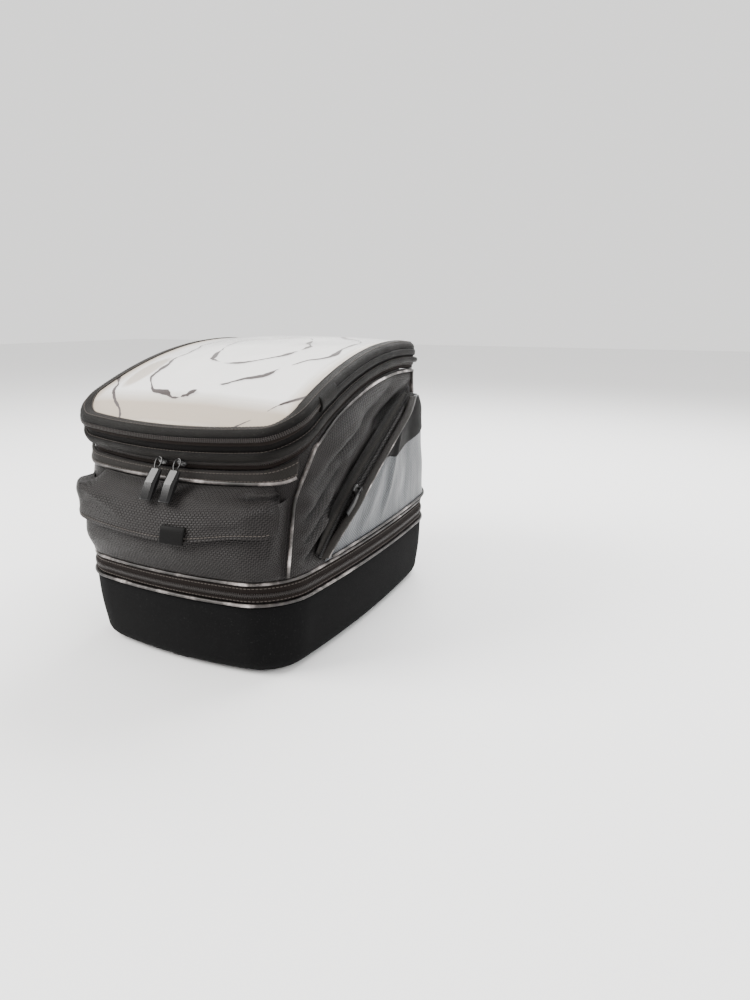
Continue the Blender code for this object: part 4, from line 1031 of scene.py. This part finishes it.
def make_side_pocket(side):
    across, t = np.meshgrid(np.linspace(0, 1, 60), np.linspace(0, 1, 44))
    points = panel_point(across, t, panel_relief(across, t, side))
    side_sheet(f"side_cloth_{side}", points, side, "side_mesh", [f"side_panel_{side}"])

    # A bound lip turns in from the slanting edge towards the zip
    t = np.linspace(0.02, 0.99, 60)
    edge = panel_point(np.zeros_like(t), t)
    start, up = edge_curve(t)
    inward = unit(wall(start - 0.5, up) - wall(start, up))
    out = wall_normal(start, up)
    rows = np.array([edge + inward * inset * MM + out * drop * MM for inset, drop in
                     ((7.4, -2.6), (6.4, -1.0), (4.4, 0.5), (2.2, 1.1), (0.6, 0.8), (-0.4, -0.3))])
    side_sheet(f"side_lip_{side}", rows, side, "binding", thickness=1.4 * MM)
    name = f"side_cord_{side}"
    mesh = side_sweep(name, edge + inward * 0.4 * MM + out * 1.6 * MM, out, circle(1.15 * MM), side)
    sewn(add_piece(name, mesh, "reflective", None, [f"side_piping_{side}"]), side)
    seam = mirror(edge + inward * 3.6 * MM + out * 1.15 * MM, side)
    sewn(stitch_row(f"side_lip_stitches_{side}", seam, mirror(out, side), None, lift=0.0), side)

    # The far seam's cord comes down the panel's far edge and back along its foot
    corner = np.linspace(0, math.pi / 2, 8)[1:]
    places = np.concatenate((np.full(30, PANEL_FAR + 0.1), PANEL_FAR + 0.1 - 0.5 * (1 - np.cos(corner)),
                             np.linspace(PANEL_FAR - 0.6, edge_curve(0.03)[0] + 0.2, 60)))
    ups = np.concatenate((np.linspace(edge_curve(0.985)[1], 0.06, 30), 0.06 - 0.032 * np.sin(corner),
                          np.full(60, 0.028)))
    name = f"side_seam_cord_{side}"
    mesh = side_sweep(name, wall(places, ups, 3.4 * MM), wall_normal(places, ups), circle(1.1 * MM), side)
    add_piece(name, mesh, "reflective", "upper_bag")

    # The smooth patch covers the panel's high far corner
    a, v = np.meshgrid(np.linspace(0.0, 0.97, 50), np.linspace(0, 1, 40))
    low = 0.515 + 0.115 * smooth((a - 0.3) / 0.65) - 0.05 * bump(a, 0.24, 0.1)
    t = low + (0.985 - low) * v
    lift = 1.3 * MM * smooth(v / 0.05) ** 0.5 + 0.1 * MM
    side_sheet(f"side_corner_patch_{side}", panel_point(a, t, panel_relief(a, t, side) + lift), side,
               "smooth_black", [f"side_patch_{side}"], 0.8 * MM)


def make_side_zip(side):
    """The pocket's zip lies on the wall beside the panel's slanting edge, over a dark hollow."""
    t = np.linspace(0.03, 0.98, 90)
    start, up = edge_curve(t)
    place, up = start - 0.42, up + 0.02
    centre, out = wall(place, up, 0.9 * MM), wall_normal(place, up)
    half = [(-5.2, 0.0), (-4.0, 0.5), (-2.6, 0.6), (-1.9, 1.2), (1.9, 1.2), (2.6, 0.6), (4.4, 0.6),
            (5.4, 0.2)]
    profiles = []
    for w in smooth(t / 0.25) * smooth((1.05 - t) / 0.3):
        hollow = [(5.4 + 6.5 * w, 0.4 - 1.0 * w), (5.4 + 6.0 * w, -0.5 - 1.0 * w), (0, -0.5)]
        profiles.append(MM * np.array(half + hollow) * (SIGNS[side], 1))
    name = f"side_tape_{side}"
    mesh = side_sweep(name, centre, out, profiles, side)
    add_piece(name, mesh, "binding", "upper_bag", [f"side_zip_{side}"])
    for row, sign in (("a", -1), ("b", 1)):
        name = f"side_teeth_{row}_{side}"
        teeth = beads(name, mirror(centre, side), mirror(out, side), TOOTH_PITCH, SIDE_TOOTH,
                      phase=-0.25 * sign, offset=(0.7 * sign * MM, 1.5 * MM))
        add_piece(name, teeth, "dark_teeth", "upper_bag")


# ---------------------------------------------------------------- lid

ZIP_END = 12.0  # the map pocket's zip ends here, in places from the near middle
ROLL_REACH = 23.6
WINDOW_RISE = 7 * MM
BORDER_W = 9.5 * MM
RIM_FOOT, RIM_HEAD = 0.34, 0.80


def lid_rows(places, loop, seed, amount):
    """Cross-sections round the lid's flank: loop is (share, out in mm) pairs, sewn a little unevenly."""
    loop = np.asarray(loop, float)
    place, share, out = np.broadcast_arrays(places[:, None], loop[:, 0], loop[:, 1] * MM)
    uneven = amount * MM * wrinkle(lid_point(place, share, out), 16 * MM, seed)
    return lid_point(place, share, out + uneven)


def rounded_loop(middle_share, middle_out, half_share, half_out, count=16, power=0.8):
    """A rounded cross-section of a padded roll: (share, out in mm) pairs."""
    turn = -2 * math.pi * np.arange(count) / count
    c, s = (np.sign(v) * np.abs(v) ** power for v in (np.cos(turn), np.sin(turn)))
    return np.stack((middle_share + half_share * c, middle_out + half_out * s), axis=-1)


def make_rain_flap():
    """The padded roll that hangs over the main zip, with its seam above it."""
    places = steps(-ROLL_REACH, ROLL_REACH, 3.2 * MM, LID)
    roll = lid_rows(places, rounded_loop(0.26, 2.0, 0.21, 2.9), 11.0, 0.55)
    piece = sheet("rain_roll", roll, "binding", "lid", "nylon", ["rain_flap"], wrap_columns=True, caps=True)
    seam = lid_rows(places, [(0.475, 1.9)], 11.0, 0.2)[:, 0]
    stitch_row("rain_flap_stitches", seam, ring_out(LID, places), "lid")


def make_rim():
    """The lid's padded flank between the rain flap and the map pocket, swelled by simulation."""
    places = ring(3.6 * MM, LID)
    shares = np.linspace(0, 1, 9)

    def level(s, out):
        return lid_point(places, np.full(len(places), RIM_FOOT + (RIM_HEAD - RIM_FOOT) * s), out)

    rows = [level(s, -0.6 * MM + 1.2 * MM * math.sin(math.pi * s)) for s in shares]
    rows += [level(s, -5.0 * MM) for s in shares[::-2]]
    rim = sheet("rim_pad", rows, "painted_shade_flank_cloth", "lid", "nylon", ["lid_rim"], wrap_rows=True, wrap_columns=True)
    hold = np.zeros((len(rows), len(places)))
    hold[0], hold[len(shares) - 1:] = 1, 1
    settle(rim, hold, pressure=2.4, cap=2.2 * MM, frames=16)


# Cross-sections at the map zip's outline, as (grow, rise) pairs in millimetres, outside first
BORDER_LOOP = ((0.2, 0.9), (0.9, 2.2), (0.9, 4.0), (0.2, 5.8), (-1.4, 7.4), (-3.6, 8.4), (-6.2, 8.8),
               (-8.4, 8.7), (-9.9, 8.2), (-10.2, 7.3), (-9.0, 6.2), (-5.0, 5.2), (-2.6, 2.6), (-2.0, 0.9))
WELT_LOOP = ((0.3, -4.6), (1.6, -4.2), (2.0, -2.2), (1.9, -0.2), (1.2, 1.2), (-1.6, 1.4), (-2.4, -4.4))
GARAGE_LOOP = ((-1.0, -5.2), (2.2, -4.8), (3.0, -2.0), (2.9, 1.6), (1.9, 4.4), (-0.2, 6.6), (-2.0, 4.0))


def map_sections(places, loop, seed=0.0, amount=0.0):
    place, grow, rise = np.broadcast_arrays(places[:, None], *(MM * np.array(loop, float).T[:, None]))
    uneven = amount * MM * wrinkle(MAP.at(place, grow, rise), 14 * MM, seed) if amount else 0.0
    return MAP.at(place, grow + uneven, rise + uneven * 0.5)


def blend_at_map_hinge(piece):
    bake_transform(piece)


def make_map_border():
    """The padded fabric border round the window."""
    places = ring(3.2 * MM, MAP)
    border = sheet("map_border", map_sections(places, BORDER_LOOP, 21.0, 0.3), "binding", None, "binding",
                   ["map_border_far", "map_border_near"], wrap_rows=True, wrap_columns=True)
    blend_at_map_hinge(border)
    for name, grow, rise in (("outer", -2.4, 8.05), ("inner", -8.6, 8.8)):
        path = map_sections(places, [(grow, rise)])[:, 0]
        blend_at_map_hinge(stitch_row(f"border_stitches_{name}", path, np.broadcast_to(UP, path.shape), None,
                                      3.0 * MM, 0.0, closed=True))

    # Round the far end and the sides the border is sewn down on a welt instead of a zip
    places = steps(ZIP_END + 0.35, RING_PLACES - ZIP_END - 0.35, 3.2 * MM, MAP)
    sheet("map_welt", map_sections(places, WELT_LOOP, 5.0, 0.3), "binding", "lid", "nylon",
          wrap_columns=True, caps=True)


def make_map_zip():
    """The map pocket's zip round its near end, with a fabric garage at either end."""
    for half, body, reach, height in (("lower", "lid", ZIP_END, -4.3),
                                      ("upper", "map_flap", ZIP_END - 0.62, 2.6)):
        places = steps(-reach, reach, 3.0 * MM, MAP)
        zip_half("map", half, f"map_chain_{half}", MAP.at(places, -0.2 * MM, height * MM),
                 MAP.at(places, 0.4 * MM), ring_out(MAP, places), body, gap=0.25, tooth=MAP_TOOTH,
                 offset=(0.45, 0.3))
    for side, sign in SIGNS.items():
        name, places = f"map_garage_{side}", sign * np.linspace(ZIP_END - 0.45, ZIP_END + 0.55, 12)
        mesh = grid_mesh(name, map_sections(places, GARAGE_LOOP, 2.0, 0.2), wrap_columns=True, caps=True)
        garage = add_piece(name, turned(mesh, side), "binding", "lid")
        assign(garage.modifiers.new("soft_edges", "BEVEL"), width=0.5 * MM, segments=2)


def make_window():
    """The clear film over the map pocket, domed and slack enough to ripple, and its lining."""
    t = np.linspace(0, FAR_MIDDLE, 90)
    edge = MAP.at(t, -BORDER_W + 0.8 * MM, WINDOW_RISE + 0.4 * MM)
    share = np.linspace(-1, 1, 71)
    flat = edge[:, None] * np.array((0, 1, 1)) + edge[:, None] * np.array((1, 0, 0)) * share[None, :, None]
    t = t[:, None]
    dome = 3.2 * MM * (1 - share ** 2) * smooth(t / 4) * smooth((FAR_MIDDLE - t) / 3)
    slack = smooth((1 - np.abs(share)) / 0.12) * smooth(t / 3) * smooth((FAR_MIDDLE - t) / 2)
    ripple = 1.3 * MM * wrinkle(flat, 46 * MM, 12.0) + 0.35 * MM * wrinkle(flat, 17 * MM, 14.0)
    film = flat + UP * (dome + slack * ripple)[..., None]
    film = sheet("window_film", film[:, ::-1], "film", None, "window", ["map_window", "map_window_flap"],
                 0.6 * MM)
    blend_at_map_hinge(film)
    lining = flat * np.array((0.985, 1, 1)) - UP * 8.6 * MM
    lining[:, :, 2] += 1.2 * MM * (1 - share ** 2)
    sheet("map_lining", lining[:, ::-1], "lining", "lid", "foam_board", ["lid_deck"], 2.4 * MM)


# ---------------------------------------------------------------- zip sliders, pulls and handle

def local_frame(origin, x_axis, z_axis):
    x_axis = Vector(x_axis).normalized()
    y_axis = Vector(z_axis).cross(x_axis).normalized()
    axes = Matrix((x_axis, y_axis, x_axis.cross(y_axis))).transposed().to_4x4()
    return Matrix.Translation(origin) @ axes


class Solid:
    """Collects prisms and wires into one mesh."""

    def __init__(self):
        self.points, self.faces = [], []

    def add(self, points, faces):
        start = len(self.points)
        self.points.extend(tuple(p) for p in points)
        self.faces.extend([i + start for i in face] for face in faces)

    def prism(self, sections):
        """A solid through closed cross-sections, capped at both ends."""
        sections = np.asarray(sections, float)
        rows, columns = sections.shape[:2]
        self.add(sections.reshape(-1, 3), grid_faces(rows, columns, False, True) + end_faces(rows, columns))

    def wire(self, points, radius, closed=True, sides=8):
        points = np.asarray(points, float)
        along = headings(points, closed)
        normal = unit(np.cross(along, np.cross(np.array((0.31, 0.22, 0.93)), along)))
        across = np.cross(along, normal)
        turn = circle(radius, sides)
        sections = (points[:, None] + across[:, None] * turn[None, :, :1]
                    + normal[:, None] * turn[None, :, 1:])
        self.add(sections.reshape(-1, 3), grid_faces(len(points), sides, closed, True))

    def mesh(self, name, matrix):
        mesh = new_mesh(name, self.points, self.faces)
        mesh.transform(matrix)
        bm = bmesh.new()
        bm.from_mesh(mesh)
        bmesh.ops.recalc_face_normals(bm, faces=bm.faces)
        bm.to_mesh(mesh)
        bm.free()
        return mesh


def slider_mesh(name, matrix):
    """A slider: a waisted plate over the teeth, and a bridge. X is along, Z is out."""
    solid = Solid()
    low, high = -0.9, 0.7
    solid.prism([[(x * MM, w * half * MM, h * MM) for w, h in
                  ((-1, low), (1, low), (1, high * 0.4), (0.82, high), (-0.82, high), (-1, high * 0.4))]
                 for x, half in ((-4.0, 1.6), (-3.6, 2.4), (-1.5, 3.3), (1.2, 3.5), (3.4, 3.0), (4.0, 2.4))])
    solid.wire([(x * MM, 0, (0.5 + h) * MM) for x, h in
                ((-2.6, -0.2), (-2.5, 1.6), (-1.8, 2.9), (-0.6, 3.5), (0.8, 3.5), (2.0, 2.9), (2.6, 1.6),
                 (2.7, -0.2))], 0.75 * MM, closed=False)
    return solid.mesh(name, matrix)


# A pull tab's outline, as shares of its length, width and depth
TAB_PROFILE = ((0.22, 0.66, 0.35), (0.235, 0.9, 0.45), (0.26, 1.0, 0.5), (0.60, 1.0, 1.3), (0.95, 1.0, 0.75),
               (0.985, 0.97, 0.6), (1.0, 0.86, 0.4))
# Its cross-section, as shares of its half width and half depth
TAB_SECTION = ((-1, -0.6), (-0.8, -1), (0.8, -1), (1, -0.6), (1, 0.45), (0.62, 1), (-0.62, 1), (-1, 0.45))


def pull_mesh(name, matrix, length, width, depth):
    """A wire link and a faceted tab. Y runs from the hinge down the tab and Z is off the bag."""
    solid = Solid()
    link_w, link_l = 0.26 * width, 0.30 * length
    link = []
    for i in range(18):
        a = 2 * math.pi * i / 18
        narrow = 1 - 0.35 * math.sin(a)
        link.append((link_w * math.cos(a) * narrow, link_l * (0.42 + 0.52 * math.sin(a)) - 0.1 * link_l, 0))
    solid.wire(link, 0.62 * MM)
    solid.prism([[(width / 2 * w * u, y * length, depth * d / 2 * v) for u, v in TAB_SECTION]
                 for y, w, d in TAB_PROFILE])
    return solid.mesh(name, matrix)


PULLS = (
    # node prefix, slider body and joint, pull body and joint, tab width and depth in millimetres
    ("main_left", "main_slider_left", "main_pull_left", 11.0, 4.6),
    ("main_right", "main_slider_right", "main_pull_right", 11.0, 4.6),
    ("map", "map_slider", "map_pull", 9.0, 2.0),
    ("side_right", "side_slider_right", "side_pull_right", 5.0, 2.2),
    ("side_left", "side_slider_left", "side_pull_left", 5.0, 2.2),
    ("expansion", "expansion_slider", "expansion_pull", 7.0, 2.2),
)


def box_middle(node):
    low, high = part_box(node)
    return (low + high) / 2


def make_sliders():
    """Each slider and pull, placed by the frame's joints and by the nodes that it stands for."""
    for prefix, slider_body, pull_body, width, depth in PULLS:
        slider_node, pull_node = prefix + "_slider", prefix + "_pull"
        hinge, axis = (Vector(JOINTS[pull_body + "_swing"][key]) for key in ("pos_m", "axis"))
        centre = box_middle(slider_node)
        along = Vector(JOINTS[slider_body + "_slide"]["axis"])
        mesh = slider_mesh(slider_node + "_body", local_frame(centre, along, hinge - centre))
        slider = add_piece(mesh.name, mesh, "slider", slider_body, [slider_node])
        hang = box_middle(pull_node) - hinge
        hang -= axis * hang.dot(axis)
        length = max((v.co - hinge).dot(hang.normalized()) for v in frame["nodes"][pull_node].data.vertices)
        mesh = pull_mesh(pull_node + "_tab", local_frame(hinge, axis, axis.cross(hang)), length, width * MM,
                         depth * MM)
        pull = add_piece(mesh.name, mesh, "pull", pull_body, [pull_node])
        for piece, angle in ((slider, 40), (pull, 11)):
            piece.data.set_sharp_from_angle(angle=math.radians(angle))


STRAP_HALF = 3.2 * MM


def make_handle():
    """A webbing handle with a padded middle, sewn to anchors on the far wall."""
    low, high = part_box("carry_handle")
    hinge = np.array(JOINTS["handle_swing"]["pos_m"])
    nodes = np.array([v.co for v in frame["nodes"]["carry_handle"].data.vertices])
    tip = nodes[np.argmin(nodes[:, 2])] - hinge
    down = unit(np.array((0, tip[1], tip[2])))
    span, drop = (high.x - low.x) / 2 - STRAP_HALF, float(np.linalg.norm(tip[1:])) - STRAP_HALF
    out = np.array((0.0, -down[2], down[1]))
    if out[1] < 0:
        out = -out
    a = np.linspace(0, math.pi, 60)
    path = (hinge + np.array((1, 0, 0)) * (-span * np.cos(a))[:, None]
            + down * (drop * np.sin(a) ** 0.6)[:, None])
    profiles = [circle(1.0, 14) * ((2.6 + 0.9 * grip) * MM, (1.3 + 1.7 * grip) * MM)
                for grip in smooth((np.sin(a) - 0.55) / 0.3)]
    mesh = sweep("handle_strap", path, np.broadcast_to(out, path.shape), profiles)
    strap = add_piece("handle_strap", mesh, "webbing", "carry_handle", ["carry_handle"])


NODE_FINISHES = {
    "board": ("base_plate",),
    "plastic": ("lock_housing", "lock_latch", "handle_anchor_left", "handle_anchor_right"),
    "steel": ("lock_spring", "lock_screw_1", "lock_screw_2", "lock_screw_3", "lock_screw_4"),
    "webbing": ("release_strap", "velcro_hook", "velcro_loop"),
}


def finish_nodes():
    """The frame's own solids that stay in view get their finish."""
    for finish, names in NODE_FINISHES.items():
        for name in names:
            node = frame["nodes"][name]
            node.data.materials.clear()
            node.data.materials.append(MATERIALS[finish])


# ---------------------------------------------------------------- studio

SKY_COLOUR, SKY_STRENGTH = (1.0, 0.99, 0.975, 1), 1.45
FLOOR_HALF = 6.0
LIGHTS = (
    # name, place, width and height, watts and colour
    ("key", (-1.1, -0.95, 1.3), (1.0, 0.9), 62, (1, 0.985, 0.96)),
    ("fill_right", (1.35, -0.25, 0.8), (0.9, 0.9), 9, (1, 1, 1)),
    ("top_far", (0.15, 1.0, 1.3), (1.5, 0.8), 50, (1, 1, 1)),
)
LIT_MIDDLE = Vector((0, 0, 0.13))
SENSOR_MM, LENS_MM = 36.0, 24.09
CAMERA_PLACE = (0.3673, -0.5454 + Y_MIDDLE, 0.2764)
CAMERA_RIGHT, CAMERA_UP = Vector((0.9013, 0.4331, 0.0024)), Vector((-0.1166, 0.2374, 0.9644))


def make_studio():
    """A pale floor, a pale sky, soft lights and the camera."""
    world = bpy.data.worlds.new("studio")
    world.use_nodes = True
    sky = world.node_tree.nodes["Background"].inputs
    sky[0].default_value, sky[1].default_value = SKY_COLOUR, SKY_STRENGTH
    bpy.context.scene.world = world

    corners = [(x * FLOOR_HALF, y * FLOOR_HALF, 0) for x, y in ((-1, -1), (1, -1), (1, 1), (-1, 1))]
    paper = Finish("paper", (0.86, 0.86, 0.86), 0.9)
    paper.set("Base Color", paper.tint(paper.noise(0.5, 2), 0.985, 1.0))
    floor = in_scene("floor", new_mesh("floor", corners, [(0, 1, 2, 3)]))
    floor.data.materials.append(MATERIALS["paper"])

    for name, place, (width, height), watts, colour in LIGHTS:
        data = assign(bpy.data.lights.new(name, "AREA"), shape="RECTANGLE", size=width, size_y=height,
                      energy=watts, color=colour)
        towards = (LIT_MIDDLE - Vector(place)).to_track_quat("-Z", "Y").to_euler()
        assign(in_scene(name, data), location=place, rotation_euler=towards)

    lens = assign(bpy.data.cameras.new("camera"), sensor_width=SENSOR_MM, lens=LENS_MM)
    axes = Matrix((CAMERA_RIGHT, CAMERA_UP, CAMERA_RIGHT.cross(CAMERA_UP))).transposed().to_4x4()
    camera = assign(in_scene("camera", lens), matrix_world=Matrix.Translation(CAMERA_PLACE) @ axes)
    bpy.context.scene.camera = camera


make_studio()
make_tub()
make_band()
make_shell()
make_header()
make_lid_zip()
make_pouch()
make_flap()
make_tab()
for pocket_side in SIGNS:
    make_side_pocket(pocket_side)
    make_side_zip(pocket_side)
make_rain_flap()
make_rim()
make_map_border()
make_map_zip()
make_window()
make_sliders()
make_handle()
finish_nodes()
